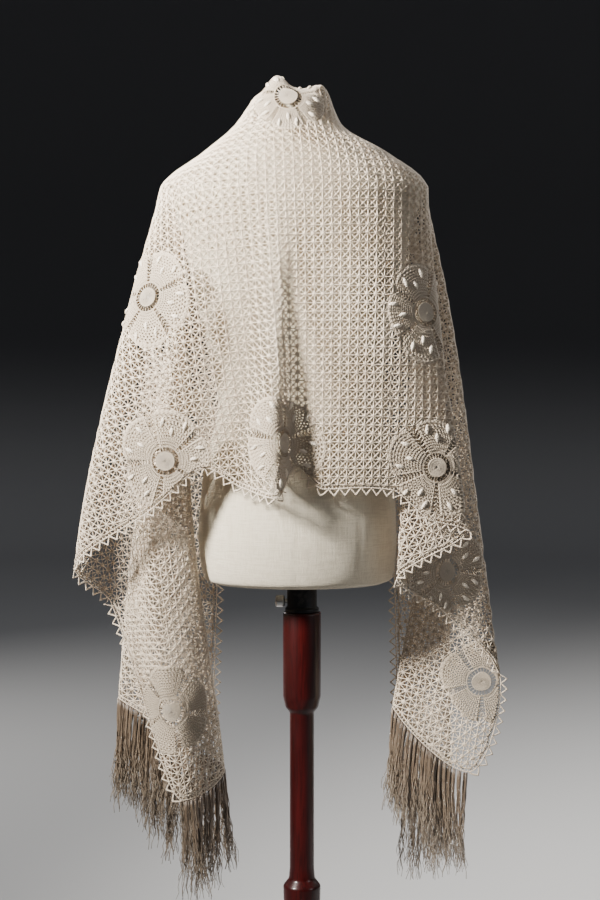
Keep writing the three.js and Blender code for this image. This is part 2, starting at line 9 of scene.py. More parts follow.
import logging
import math
from dataclasses import dataclass, field
from enum import Enum
from typing import Sequence

import bpy
import numpy as np
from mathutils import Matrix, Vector

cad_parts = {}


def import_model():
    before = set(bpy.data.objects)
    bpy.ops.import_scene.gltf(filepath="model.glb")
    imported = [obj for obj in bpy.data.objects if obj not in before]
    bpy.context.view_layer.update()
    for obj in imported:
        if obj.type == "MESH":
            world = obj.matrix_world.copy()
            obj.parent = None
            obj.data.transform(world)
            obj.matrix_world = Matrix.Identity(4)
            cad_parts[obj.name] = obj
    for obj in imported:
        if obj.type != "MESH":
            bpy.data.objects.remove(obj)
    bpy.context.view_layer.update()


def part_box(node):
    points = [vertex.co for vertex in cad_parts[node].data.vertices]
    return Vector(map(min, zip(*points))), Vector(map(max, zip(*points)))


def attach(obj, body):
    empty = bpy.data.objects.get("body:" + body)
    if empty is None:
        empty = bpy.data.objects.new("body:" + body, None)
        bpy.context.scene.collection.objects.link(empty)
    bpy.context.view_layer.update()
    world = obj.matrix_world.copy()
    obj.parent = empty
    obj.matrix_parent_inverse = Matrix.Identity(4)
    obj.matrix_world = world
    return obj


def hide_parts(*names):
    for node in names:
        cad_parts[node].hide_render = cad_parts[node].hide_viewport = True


log = logging.getLogger("shawl")

Array = np.ndarray
Mesh = tuple[Array, Array, Array]  # points, faces of four corners, and own places
Flat = tuple[Array, Array, Array]  # flat places, heights over the cloth, and faces
Colour = tuple[float, float, float]
MM = 0.001
CIRCLE = 2 * math.pi
SHOULDER, BUST, HIP, KNEE = 1375.0, 1230.0, 850.0, 560.0
SHOULDER_LEVEL, LEVEL_STEP = 5.0, 100.0

# A fold line is carried on past the shoulder and the knee: how far, and by what share of its last stretch.
OVER_HEIGHT, OVER_SHARE = 60.0, 0.3
UNDER_HEIGHT, UNDER_SHARE = 200.0, 0.6


@dataclass(frozen=True)
class Ring:
    """One ring of cloth between the collar and the shoulder: half sizes and heights."""

    x: float
    left: float
    right: float
    back: float
    front: float
    z_back: float
    z_side: float
    z_front: float
    peak: float
    hump: float


@dataclass(frozen=True)
class Fold:
    """One fold line: the angle at which it leaves the neck, its places, and its lowest point."""

    name: str
    turn: float
    bust: tuple[float, float]
    hip: tuple[float, float]
    knee: tuple[float, float]
    low: float


RINGS = (
    Ring(-15, 52, 51, 8, 70, 1513, 1509, 1462, 17, 10),
    Ring(-15, 56, 55, 34, 72, 1515, 1505, 1456, 20, 12),
    Ring(-16, 64, 62, 58, 74, 1503, 1490, 1446, 0, 0),
    Ring(-18, 84, 80, 70, 79, 1468, 1462, 1432, 0, 0),
    Ring(-20, 128, 148, 90, 86, 1425, 1425, 1405, 0, 0),
    Ring(-11, 199, 198, 101, 94, SHOULDER, SHOULDER, SHOULDER, 0, 0),
)

# The collar's peak left of the nape and its hump right of it: degrees from the back, and width.
PEAK_TURN, PEAK_WIDTH = -23.0, 18.0
HUMP_TURN, HUMP_WIDTH = 52.0, 22.0

FOLDS = (
    Fold("left_edge", -148, (-114, 109), (-132, 106), (-142, 98), 446),
    Fold("left_inner", -137, (-165, 97), (-200, 100), (-208, 92), 515),
    Fold("left_under_fold", -126, (-192, 64), (-258, 56), (-286, 60), 601),
    Fold("left_tail_fold", -113, (-182, 12), (-160, -46), (-124, -10), 507),
    Fold("left_corner", -103, (-202, -22), (-212, -64), (-182, -64), 472),
    Fold("left_tail_side", -97, (-214, -14), (-248, -34), (-240, -30), 640),
    Fold("left_valley", -92, (-222, -8), (-284, -18), (-276, -14), 762),
    Fold("left_fall_fold", -82, (-246, -40), (-330, -64), (-350, -68), 822),
    Fold("left_fall", -56, (-190, -86), (-228, -98), (-240, -98), 904),
    Fold("left_side", -37, (-130, -104), (-146, -102), (-150, -102), 968),
    Fold("left_back", -21, (-78, -107), (-94, -112), (-94, -112), 942),
    Fold("ridge", -8, (-38, -120), (-38, -158), (-38, -158), 928),
    Fold("dip", 0, (-12, -108), (-9, -108), (-9, -108), 968),
    Fold("right_back", 12, (36, -108), (32, -114), (32, -114), 938),
    Fold("right_blade", 26, (82, -106), (86, -110), (86, -110), 940),
    Fold("right_side", 40, (122, -100), (134, -100), (134, -100), 936),
    Fold("right_fall", 58, (162, -80), (188, -97), (190, -97), 892),
    Fold("right_fall_fold", 80, (195, -48), (243, -84), (270, -90), 874),
    Fold("right_valley", 90, (172, -24), (142, -80), (136, -30), 806),
    Fold("right_under", 95, (196, -6), (206, -36), (214, -18), 752),
    Fold("right_tail_fold", 101, (214, 6), (270, 0), (308, 0), 648),
    Fold("right_corner", 108, (204, 28), (232, 24), (248, -8), 502),
    Fold("right_tail", 118, (184, 38), (182, 40), (134, 26), 593),
    Fold("right_inner", 133, (188, 76), (226, 78), (230, 76), 480),
    Fold("right_edge", 148, (106, 110), (144, 106), (152, 98), 463),
)


def fold(name: str) -> int:
    """Return the place of a fold line by its name.

    Args:
        name: a name of the fold table.

    Returns:
        Its index, which is its place across the cloth.
    """
    return [entry.name for entry in FOLDS].index(name)


def unit(vectors: Array) -> Array:
    """Return vectors of length one along the last axis."""
    return vectors / np.maximum(np.linalg.norm(vectors, axis=-1, keepdims=True), 1e-12)


def cubic(places: Array, values: Array, t: Array) -> Array:
    """Cubic through four values at uneven places, read between the middle two.

    The end slopes are the three-point slopes of uneven spacing, and the curve is the Hermite cubic on them.

    Args:
        places: (..., 4) places of the values.
        values: (..., 4, k) values.
        t: (...) where to read.

    Returns:
        (..., k) values there.
    """
    t0, t1, t2, t3 = (places[..., k, None] for k in range(4))
    p0, p1, p2, p3 = (values[..., k, :] for k in range(4))
    span = t2 - t1
    slope1 = ((p1 - p0) / (t1 - t0) - (p2 - p0) / (t2 - t0) + (p2 - p1) / span) * span
    slope2 = ((p2 - p1) / span - (p3 - p1) / (t3 - t1) + (p3 - p2) / (t3 - t2)) * span
    s = (t[..., None] - t1) / span
    a = 2 * p1 - 2 * p2 + slope1 + slope2
    b = -3 * p1 + 3 * p2 - 2 * slope1 - slope2
    return ((a * s + b) * s + slope1) * s + p1


def centripetal(four: Array, share: Array) -> Array:
    """Curve through four points with knots spaced by the root of their distance, between the middle two.

    Args:
        four: (..., 4, k) points.
        share: (...) share of the way from the second to the third.

    Returns:
        (..., k) points.
    """
    steps = np.maximum(np.sqrt(np.linalg.norm(np.diff(four, axis=-2), axis=-1)), 1e-3)
    places = np.concatenate([np.zeros_like(steps[..., :1]), np.cumsum(steps, axis=-1)], axis=-1)
    return cubic(places, four, places[..., 1] + share * (places[..., 2] - places[..., 1]))


def along(points: Array, at: Array) -> Array:
    """Smooth curve through rows of points, carried straight on past its ends.

    Args:
        points: (..., n, k) points, one row for each place read, or one row for all.
        at: (m,) places, counted in points.

    Returns:
        (m, k) points on the curve.
    """
    count = points.shape[-2]
    start = np.clip(np.floor(at).astype(int), 0, count - 2)
    first = 2 * points[..., :1, :] - points[..., 1:2, :]
    last = 2 * points[..., -1:, :] - points[..., -2:-1, :]
    padded = np.concatenate([first, points, last], axis=-2)
    index = start[:, None] + np.arange(4)
    four = padded[index] if padded.ndim == 2 else padded[np.arange(len(at))[:, None], index]
    return centripetal(four, at - start)


def sample(grid: Array, i: Array, j: Array) -> Array:
    """Read a grid between its nodes with the Catmull-Rom cubic of both directions.

    Args:
        grid: (m, n, k) values.
        i: (p,) places along the first axis.
        j: (p,) places along the second axis.

    Returns:
        (p, k) values.
    """

    def pad(values: Array) -> Array:
        """Add one line before and one after, straight on."""
        return np.concatenate([2 * values[:1] - values[1:2], values, 2 * values[-1:] - values[-2:-1]])

    def weights(t: Array) -> Array:
        """Catmull-Rom weights of four neighbours at share t."""
        return np.stack([
            ((-0.5 * t + 1) * t - 0.5) * t,
            (1.5 * t - 2.5) * t * t + 1,
            ((-1.5 * t + 2) * t + 0.5) * t,
            (0.5 * t - 0.5) * t * t,
        ])

    wide = pad(pad(grid).swapaxes(0, 1)).swapaxes(0, 1)
    i0 = np.clip(np.floor(i).astype(int), 0, grid.shape[0] - 2)
    j0 = np.clip(np.floor(j).astype(int), 0, grid.shape[1] - 2)
    wi, wj = weights(i - i0), weights(j - j0)
    total = np.zeros((len(i), grid.shape[2]))
    for a in range(4):
        for b in range(4):
            total += (wi[a] * wj[b])[:, None] * wide[i0 + a, j0 + b]
    return total


@dataclass
class Drape:
    """The hung cloth as one surface of two places: across the folds, and down from collar to hem.

    The place down runs from 0 at the collar to 2 at the lower edge. The level counts the rings to the
    shoulder and then each 100 mm of height: level = 5 down + (lowest level - 10) (down / 2) squared.
    """

    origin: Array
    per_fold: int = 32
    rows: int = 400
    coarse_per_fold: int = 3
    coarse_rows: int = 24
    cell: float = 3.0
    border: int = 14
    places: Array = field(init=False)
    outward: Array = field(init=False)
    right: Array = field(init=False)
    down: Array = field(init=False)
    flat: Array = field(init=False)
    low_corner: Array = field(init=False)
    near: Array = field(init=False)

    def __post_init__(self) -> None:
        """Work out the grids of points, directions and flat places."""
        self.places = self.grid(self.per_fold, self.rows)
        self.right = np.gradient(self.places, axis=0)
        self.down = np.gradient(self.places, axis=1)
        self.outward = unit(np.cross(self.down, self.right))
        coarse = self.flatten(self.grid(self.coarse_per_fold, self.coarse_rows))
        i, j = np.meshgrid(
            np.linspace(0, coarse.shape[0] - 1, self.places.shape[0]),
            np.linspace(0, coarse.shape[1] - 1, self.places.shape[1]),
            indexing="ij",
        )
        self.flat = sample(coarse, i.ravel(), j.ravel()).reshape(*i.shape, 2)
        self.low_corner = self.flat.min(axis=(0, 1)) - self.border * self.cell
        self.near = self.lookup()

    @staticmethod
    def table(key: str) -> Array:
        """One column of the fold table as an array."""
        return np.array([getattr(entry, key) for entry in FOLDS], float)

    def fold_value(self, key: str, across: Array) -> Array:
        """A column of the fold table read at any place across, as a smooth curve over the index."""
        column = self.table(key)
        return along(np.stack([np.arange(len(column)), column], axis=-1), across)[:, 1]

    @staticmethod
    def ring_point(ring: Ring, turn: Array) -> Array:
        """Points of a ring at angles from the back.

        Half ellipses to the left and right, back and front. The height goes from back to side with the
        square of the angle's quarter and then evenly to the front, with a peak left of the nape and a
        wider hump right of it.

        Args:
            ring: the ring's sizes.
            turn: (n,) degrees, negative to the left.

        Returns:
            (n, 3) points.
        """
        angle = np.radians(turn)
        x = ring.x + np.where(turn < 0, ring.left, ring.right) * np.sin(angle)
        y = -np.where(np.cos(angle) > 0, ring.back, ring.front) * np.cos(angle)
        quarter = np.abs(turn) / 90
        behind = ring.z_back + (ring.z_side - ring.z_back) * quarter**2
        before = ring.z_side + (ring.z_front - ring.z_side) * np.minimum(quarter - 1, 1)
        peak = ring.peak * np.exp(-(((turn - PEAK_TURN) / PEAK_WIDTH) ** 2))
        hump = ring.hump * np.exp(-(((turn - HUMP_TURN) / HUMP_WIDTH) ** 2))
        return np.stack([x, y, np.where(quarter < 1, behind, before) + peak + hump], axis=-1)

    def fold_at(self, index: Array, z: Array) -> Array:
        """Where fold lines stand at heights at or below the shoulder.

        A cubic of height through the places at shoulder, bust, hip and knee, carried on past both ends.

        Args:
            index: (...) indices of fold lines.
            z: (...) heights.

        Returns:
            (..., 3) points.
        """
        top = self.ring_point(RINGS[-1], self.table("turn"))[:, :2]
        bust, hip, knee = (self.table(key) for key in ("bust", "hip", "knee"))
        above, below = top + OVER_SHARE * (top - bust), knee + UNDER_SHARE * (knee - hip)
        columns = np.stack([above, top, bust, hip, knee, below], axis=1)
        heights = np.array([SHOULDER + OVER_HEIGHT, SHOULDER, BUST, HIP, KNEE, KNEE - UNDER_HEIGHT])
        start = (z < BUST).astype(int) + (z < HIP).astype(int)
        four = start[..., None] + np.arange(4)
        xy = cubic(heights[four], columns[index[..., None], four], z)
        return np.concatenate([xy, z[..., None]], axis=-1)

    def lower(self, across: Array, level: Array) -> Array:
        """Points of the cloth at or below the shoulder, on a smooth curve through the fold lines."""
        z = SHOULDER - (level - SHOULDER_LEVEL) * LEVEL_STEP
        last = len(FOLDS) - 1
        start = np.clip(np.floor(across).astype(int), 0, last - 1)
        index = start[:, None] + np.arange(-1, 3)
        four = self.fold_at(np.clip(index, 0, last), np.repeat(z[:, None], 4, axis=1))
        four[start == 0, 0] = 2 * four[start == 0, 1] - four[start == 0, 2]
        end = start + 2 > last
        four[end, 3] = 2 * four[end, 2] - four[end, 1]
        return centripetal(four, across - start)

    def cloth(self, across: Array, level: Array) -> Array:
        """Points of the cloth at places across and levels, as (n, 3)."""
        points = np.empty((len(across), 3))
        low = level >= SHOULDER_LEVEL
        points[low] = self.lower(across[low], level[low])
        near = across[~low]
        if len(near):
            turn = self.fold_value("turn", near)
            bust_level = SHOULDER_LEVEL + (SHOULDER - BUST) / LEVEL_STEP
            column = [self.ring_point(ring, turn) for ring in RINGS[:-1]]
            column += [self.lower(near, np.full(len(near), at)) for at in (SHOULDER_LEVEL, bust_level)]
            points[~low] = along(np.stack(column, axis=1), level[~low])
        return points

    def bend(self, across: Array) -> Array:
        """How far the level of the lower edge is past twice that of the shoulder, at places across."""
        lowest = SHOULDER_LEVEL + (SHOULDER - self.fold_value("low", across)) / LEVEL_STEP
        return lowest - 2 * SHOULDER_LEVEL

    def level(self, across: Array, down: Array) -> Array:
        """Level of a place down, which reaches the lowest point of the cloth at 2."""
        return SHOULDER_LEVEL * down + self.bend(across) * (down / 2) ** 2

    def grid(self, per_fold: int, rows: int) -> Array:
        """Grid of points, so many columns for each fold and so many rows from collar to hem."""
        across, down = np.meshgrid(
            np.linspace(0, len(FOLDS) - 1, per_fold * (len(FOLDS) - 1) + 1),
            np.linspace(0, 2, rows + 1),
            indexing="ij",
        )
        points = self.cloth(across.ravel(), self.level(across.ravel(), down.ravel()))
        return points.reshape(*across.shape, 3) + self.origin

    def flatten(
        self, points: Array, rounds: int = 160, neck: float = 140.0, girth: float = 0.8, least: float = 0.02
    ) -> Array:
        """Lay the cloth out flat with as little stretch as it can have.

        It starts as a fan and alternates two steps: the best turn of each triangle from its true shape
        to its flat one, and the flat places that best agree with all the turned triangles.

        Args:
            points: (m, n, 3) grid of the hung cloth.
            rounds: how often the two steps are taken.
            neck: millimetres from the point of the fan to the collar.
            girth: share of the way down at which the fan's angles are measured.
            least: least weight of a triangle's side.

        Returns:
            (m, n, 2) flat places, the centre of the back pointing down.
        """
        m, n, _ = points.shape
        ids = np.arange(m * n).reshape(m, n)
        a, b, c, d = ids[:-1, :-1], ids[:-1, 1:], ids[1:, 1:], ids[1:, :-1]
        triangles = np.concatenate([np.stack(three, -1).reshape(-1, 3) for three in ((a, b, c), (a, c, d))])
        p = points.reshape(-1, 3)[triangles]
        e1, e2 = p[:, 1] - p[:, 0], p[:, 2] - p[:, 0]
        x1 = np.linalg.norm(e1, axis=1)
        x2 = np.einsum("ij,ij->i", e1, e2) / x1
        y2 = np.linalg.norm(np.cross(e1, e2), axis=1) / x1
        true = np.stack([np.zeros((len(p), 2)), np.stack([x1, 0 * x1], -1), np.stack([x2, y2], -1)], axis=1)
        laplacian = np.zeros((m * n, m * n))
        edges = []
        for k in range(3):
            i, j = (k + 1) % 3, (k + 2) % 3
            u, v = true[:, i] - true[:, k], true[:, j] - true[:, k]
            twice_area = np.abs(u[:, 0] * v[:, 1] - u[:, 1] * v[:, 0])
            w = np.maximum(np.einsum("ij,ij->i", u, v) / np.maximum(twice_area, 1e-9), least)
            edges.append((i, j, w, true[:, i] - true[:, j]))
            s, t = triangles[:, i], triangles[:, j]
            np.add.at(laplacian, (s, t), -w)
            np.add.at(laplacian, (t, s), -w)
            np.add.at(laplacian, (s, s), w)
            np.add.at(laplacian, (t, t), w)
        laplacian[0, 0] += 1.0
        inverse = np.linalg.inv(laplacian)
        steps = np.linalg.norm(np.diff(points, axis=1), axis=2)
        reach = neck + np.concatenate([np.zeros((m, 1)), np.cumsum(steps, axis=1)], axis=1)
        row = int(n * girth)
        arc = np.linalg.norm(np.diff(points[:, row], axis=0), axis=1)
        angle = np.concatenate([[0], np.cumsum(arc / (0.5 * (reach[1:, row] + reach[:-1, row])))])
        angle = (angle - angle[m // 2])[:, None]
        flat = np.stack([reach * np.sin(angle), -reach * np.cos(angle)], axis=-1).reshape(-1, 2)
        for _ in range(rounds):
            q = flat[triangles]
            cosine, sine = np.zeros(len(q)), np.zeros(len(q))
            for i, j, w, e in edges:
                f = q[:, i] - q[:, j]
                cosine += w * (e[:, 0] * f[:, 0] + e[:, 1] * f[:, 1])
                sine += w * (e[:, 0] * f[:, 1] - e[:, 1] * f[:, 0])
            size = np.maximum(np.hypot(cosine, sine), 1e-12)
            cosine, sine = cosine / size, sine / size
            pull = np.zeros((m * n, 2))
            for i, j, w, e in edges:
                turned = np.stack([cosine * e[:, 0] - sine * e[:, 1], sine * e[:, 0] + cosine * e[:, 1]], -1)
                for column in range(2):
                    force = w * turned[:, column]
                    pull[:, column] += np.bincount(triangles[:, i], force, m * n)
                    pull[:, column] -= np.bincount(triangles[:, j], force, m * n)
            pull[0] += flat[0]
            flat = inverse @ pull
        flat = flat.reshape(m, n, 2)
        middle = m // 2
        way = flat[middle, -1] - flat[middle, n // 3]
        turn = math.atan2(way[0], -way[1])
        rotation = np.array([[math.cos(-turn), -math.sin(-turn)], [math.sin(-turn), math.cos(-turn)]])
        return (flat - flat[middle, n // 3]) @ rotation.T

    def lookup(self) -> Array:
        """Note for each small square of the flat cloth a node of the grid near it.

        Returns:
            (a, b) nodes, each a place in the flattened grid, or -1 far from the cloth.
        """
        reach = self.flat.max(axis=(0, 1)) - self.low_corner
        near = np.full(np.ceil(reach / self.cell).astype(int) + self.border + 1, -1)
        square = np.floor((self.flat - self.low_corner) / self.cell).astype(int).reshape(-1, 2)
        near[square[:, 0], square[:, 1]] = np.arange(len(square))
        for _ in range(self.border):
            for axis, step in ((0, 1), (0, -1), (1, 1), (1, -1)):
                near = np.where(near < 0, np.roll(near, step, axis=axis), near)
        return near

    def locate(self, flat: Array, rounds: int = 7, stride: float = 12.0) -> tuple[Array, Array, Array]:
        """Find flat places on the grid, by Newton steps from the node noted near each.

        Args:
            flat: (p, 2) flat places.
            rounds: how many steps.
            stride: longest step, in lines of the grid.

        Returns:
            Places along both axes of the grid, kept on it, and how far off each is in millimetres.
        """
        m, n, _ = self.flat.shape
        square = np.floor((flat - self.low_corner) / self.cell).astype(int)
        square = np.clip(square, 0, np.array(self.near.shape) - 1)
        start = np.maximum(self.near[square[:, 0], square[:, 1]], 0)
        i, j = (start // n).astype(float), (start % n).astype(float)
        for _ in range(rounds):
            i0 = np.clip(np.floor(i).astype(int), 0, m - 2)
            j0 = np.clip(np.floor(j).astype(int), 0, n - 2)
            f, g = (i - i0)[:, None], (j - j0)[:, None]
            p00, p10 = self.flat[i0, j0], self.flat[i0 + 1, j0]
            p01, p11 = self.flat[i0, j0 + 1], self.flat[i0 + 1, j0 + 1]
            di = (p10 - p00) * (1 - g) + (p11 - p01) * g
            dj = (p01 - p00) * (1 - f) + (p11 - p10) * f
            value = (p00 * (1 - f) + p10 * f) * (1 - g) + (p01 * (1 - f) + p11 * f) * g
            off = flat - value
            det = di[:, 0] * dj[:, 1] - di[:, 1] * dj[:, 0]
            det = np.where(np.abs(det) < 1e-6, 1e-6, det)
            step_i = (off[:, 0] * dj[:, 1] - off[:, 1] * dj[:, 0]) / det
            step_j = (di[:, 0] * off[:, 1] - di[:, 1] * off[:, 0]) / det
            i = np.clip(i + np.clip(step_i, -stride, stride), 0, m - 1)
            j = np.clip(j + np.clip(step_j, -stride, stride), 0, n - 1)
        off = np.linalg.norm(sample(self.flat, i, j) - flat, axis=1)
        return i, j, off

    def lay(self, flat: Array, height: Array) -> Array:
        """Put flat places on the hung cloth, so far out from it.

        Args:
            flat: (p, 2) flat places in millimetres.
            height: (p,) millimetres out of the cloth's middle surface.

        Returns:
            (p, 3) points in millimetres of the frame.
        """
        i, j, _ = self.locate(flat)
        return sample(self.places, i, j) + height[:, None] * unit(sample(self.outward, i, j))

    def flat_at(self, across: float, level: float) -> Array:
        """Flat place of one point of the cloth, from its place across and its level."""
        k = float(self.bend(np.array([across]))[0]) / 4
        root = math.sqrt(SHOULDER_LEVEL**2 + 4 * k * level)
        down = level / SHOULDER_LEVEL if abs(k) < 1e-6 else (root - SHOULDER_LEVEL) / (2 * k)
        i, j = np.array([across * self.per_fold]), np.array([down * self.rows / 2])
        return sample(self.flat, i, j)[0]


class Expr:
    """A number in a shader. Its operators add Math nodes and give new numbers."""

    def __init__(self, graph: "Graph", socket: bpy.types.NodeSocket) -> None:
        """Wrap an output socket of a graph."""
        self.graph = graph
        self.socket = socket

    def _with(self, operation: str, *values: "Expr | float") -> "Expr":
        """Add a Math node of an operation on these values."""
        node = self.graph.node("ShaderNodeMath", {"operation": operation}, dict(enumerate(values)))
        return Expr(self.graph, node.outputs[0])

    def __add__(self, other: "Expr | float") -> "Expr":
        """Sum."""
        return self._with("ADD", self, other)

    def __radd__(self, other: float) -> "Expr":
        """Sum, reflected."""
        return self._with("ADD", other, self)

    def __sub__(self, other: "Expr | float") -> "Expr":
        """Difference."""
        return self._with("SUBTRACT", self, other)

    def __rsub__(self, other: float) -> "Expr":
        """Difference, reflected."""
        return self._with("SUBTRACT", other, self)

    def __mul__(self, other: "Expr | float") -> "Expr":
        """Product."""
        return self._with("MULTIPLY", self, other)

    def __rmul__(self, other: float) -> "Expr":
        """Product, reflected."""
        return self._with("MULTIPLY", other, self)

    def sin(self) -> "Expr":
        """Sine."""
        return self._with("SINE", self)

    def over(self, edge: float, soft: float) -> "Expr":
        """Soft step from 0 to 1 about an edge."""
        settings = {"interpolation_type": "SMOOTHSTEP"}
        node = self.graph.node("ShaderNodeMapRange", settings, {0: self, 1: edge - soft, 2: edge + soft})
        return Expr(self.graph, node.outputs[0])


Value = Expr | bpy.types.NodeSocket | float | Sequence[float]


class Graph:
    """The node tree of one material, with a Principled shader already joined to its output."""

    def __init__(self, name: str) -> None:
        """Make a material and clear its tree."""
        self.material = bpy.data.materials.new(name)
        self.material.use_nodes = True
        self.tree = self.material.node_tree
        self.tree.nodes.clear()
        self.shader = self.node("ShaderNodeBsdfPrincipled", {}, {})
        self.node("ShaderNodeOutputMaterial", {}, {"Surface": self.shader.outputs[0]})

    def node(self, kind: str, settings: dict[str, object], inputs: dict[int | str, Value]) -> bpy.types.Node:
        """Add any node.

        Args:
            kind: the node's type.
            settings: its own settings, set first; "stops" gives a ramp's places and colours.
            inputs: values or links for its sockets, by name or number.

        Returns:
            The node.
        """
        made = self.tree.nodes.new(kind)
        for key, value in settings.items():
            if key == "stops":
                ramp = made.color_ramp
                for place, colour in value[1:-1]:
                    ramp.elements.new(place).color = (*colour, 1)
                ends = (value[0], value[-1])
                for element, (place, colour) in zip((ramp.elements[0], ramp.elements[-1]), ends):
                    element.position, element.color = place, (*colour, 1)
            else:
                setattr(made, key, value)
        for key, value in inputs.items():
            self.feed(made.inputs[key], value)
        return made

    def feed(self, socket: bpy.types.NodeSocket, value: Value) -> None:
        """Link a socket to a number or colour of the graph, or set its own constant."""
        if isinstance(value, Expr):
            self.tree.links.new(value.socket, socket)
        elif isinstance(value, bpy.types.NodeSocket):
            self.tree.links.new(value, socket)
        else:
            socket.default_value = (*value, 1) if socket.type == "RGBA" else value

    def coordinates(self, scale: Sequence[float] = (1, 1, 1), uv: bool = False) -> bpy.types.NodeSocket:
        """Places on the object or, for cloth and cords, on its own UV map, scaled."""
        source = self.node("ShaderNodeTexCoord", {}, {}).outputs["UV" if uv else "Object"]
        return self.node("ShaderNodeMapping", {}, {"Vector": source, "Scale": scale}).outputs[0]

    def axes(self, vector: bpy.types.NodeSocket) -> tuple[Expr, Expr, Expr]:
        """Split a vector into its three numbers."""
        split = self.node("ShaderNodeSeparateXYZ", {}, {0: vector})
        return tuple(Expr(self, out) for out in split.outputs)

    def noise(
        self, vector: bpy.types.NodeSocket, scale: float = 1.0, detail: float = 2.0, rough: float = 0.5
    ) -> Expr:
        """Noise about one half at a vector."""
        inputs = {"Vector": vector, "Scale": scale, "Detail": detail, "Roughness": rough}
        return Expr(self, self.node("ShaderNodeTexNoise", {}, inputs).outputs[0])

    def ramp(self, factor: Expr, stops: Sequence[tuple[float, Sequence[float]]]) -> bpy.types.NodeSocket:
        """Colour ramp of a number."""
        return self.node("ShaderNodeValToRGB", {"stops": stops}, {0: factor}).outputs[0]

    def mix(self, factor: Expr | float, a: Value, b: Value, blend: str = "MIX") -> bpy.types.NodeSocket:
        """Mix of two colours."""
        settings = {"data_type": "RGBA", "blend_type": blend}
        return self.node("ShaderNodeMix", settings, {0: factor, 6: a, 7: b}).outputs[2]

    def bump(self, height: Expr, strength: float, distance: float) -> None:
        """Raise the surface's finish by a height."""
        made = self.node("ShaderNodeBump", {}, {"Height": height, "Strength": strength, "Distance": distance})
        self.tree.links.new(made.outputs[0], self.shader.inputs["Normal"])

    def set(self, **values: Value) -> None:
        """Set sockets of the shader, by their names with _ for a space."""
        for name, value in values.items():
            self.feed(self.shader.inputs[name.replace("_", " ")], value)

    def stitches(self, u: Expr, v: Expr, stitch: float, row: float) -> Expr:
        """Rows of stitches as a product of two sines, the one along a row shifted by the one across it.

        Args:
            u: place along the rows in metres.
            v: place across them.
            stitch: length of a stitch in metres.
            row: height of a pair of rows in metres.

        Returns:
            A height from 0 to 1.
        """
        rows = (v * (CIRCLE / row)).sin()
        return rows * (u * (CIRCLE / stitch) + rows).sin() * 0.5 + 0.5

    def soften(self) -> None:
        """Give the shader the soft, matt glow of cotton."""
        self.set(Sheen_Weight=0.25, Sheen_Roughness=0.5, Specular_IOR_Level=0.25)


@dataclass(frozen=True)
class CrochetCotton:
    """Crocheted cotton thread, cream with age."""

    name: str = "crochet_cotton"
    row: float = 0.0031
    stitch: float = 0.0027
    patch_scale: float = 9.0
    ply_scale: float = 900.0
    relief: float = 0.0008
    light: Colour = (0.84, 0.73, 0.59)
    aged: Colour = (0.70, 0.59, 0.46)
    # painted shade for the crevices between the plies and the stitches
    crevice_shade: Colour = (0.42, 0.31, 0.21)

    def build(self) -> bpy.types.Material:
        """Broad patches of age, painted shade in the hollows between the plies and the stitches, and the
        twist of the thread.
        """
        g = Graph(self.name)
        place = g.coordinates()
        u, v, _ = g.axes(g.coordinates(uv=True))
        stitches = g.stitches(u, v, self.stitch, self.row)
        patches = g.noise(place, self.patch_scale, 3.0)
        plies = g.noise(place, self.ply_scale, 2.0, 0.6)
        # painted shade: darker between the plies and between the stitches, where shade would fall
        between = (1 - plies.over(0.42, 0.12)) * 0.4 + (1 - stitches) * 0.35
        colour = g.mix(patches.over(0.52, 0.22), self.light, self.aged)
        g.set(Base_Color=g.mix(between, colour, self.crevice_shade), Roughness=0.82 + 0.1 * plies)
        g.soften()
        g.bump(0.5 * plies + stitches, 0.8, self.relief)
        return g.material


@dataclass(frozen=True)
class PetalCotton:
    """The same cotton in close stitches, its flat disc and petals darkened with painted shade: greyer petals
    round a paler disc, with pale raised leaves.
    """

    name: str = "petal_cotton"
    row: float = 0.0036
    stitch: float = 0.0032
    disc: float = 0.0145
    leaf: float = 1.0
    patch_scale: float = 70.0
    relief: float = 0.0012
    light: Colour = (0.80, 0.70, 0.57)
    # painted shade: the flat petals and disc take darker copies of the cotton colour than the raised leaves
    petal: Colour = (0.56, 0.47, 0.36)
    middle: Colour = (0.64, 0.55, 0.43)
    # painted shade for the hollows between the stitches
    crevice_shade: Colour = (0.26, 0.19, 0.13)

    def build(self) -> bpy.types.Material:
        """Stitches in rows round the middle, with painted shade in the hollows between them on the petals.

        The own place out of a leaf has its metres and `leaf` more, which tells it from a petal.
        """
        g = Graph(self.name)
        around, out, _ = g.axes(g.coordinates(uv=True))
        stitches = g.stitches(around, out, self.stitch, self.row)
        patches = g.noise(g.coordinates(), self.patch_scale, 3.0)
        flat = 1 - out.over(0.5 * self.leaf, 0.1)
        # painted shade: the flat disc and petals darker than the raised leaves, the petals varied in random
        # patches
        tone = g.mix(out.over(self.disc, 0.001) * (0.75 + 0.25 * patches), self.middle, self.petal)
        colour = g.mix(flat, self.light, tone)
        # painted shade between the stitches, strongest on the flat disc and petals
        colour = g.mix((1 - stitches) * (0.1 + 0.55 * flat), colour, self.crevice_shade)
        g.set(Base_Color=colour, Roughness=0.82 + 0.1 * stitches)
        g.soften()
        g.bump(stitches, 0.9, self.relief)
        return g.material


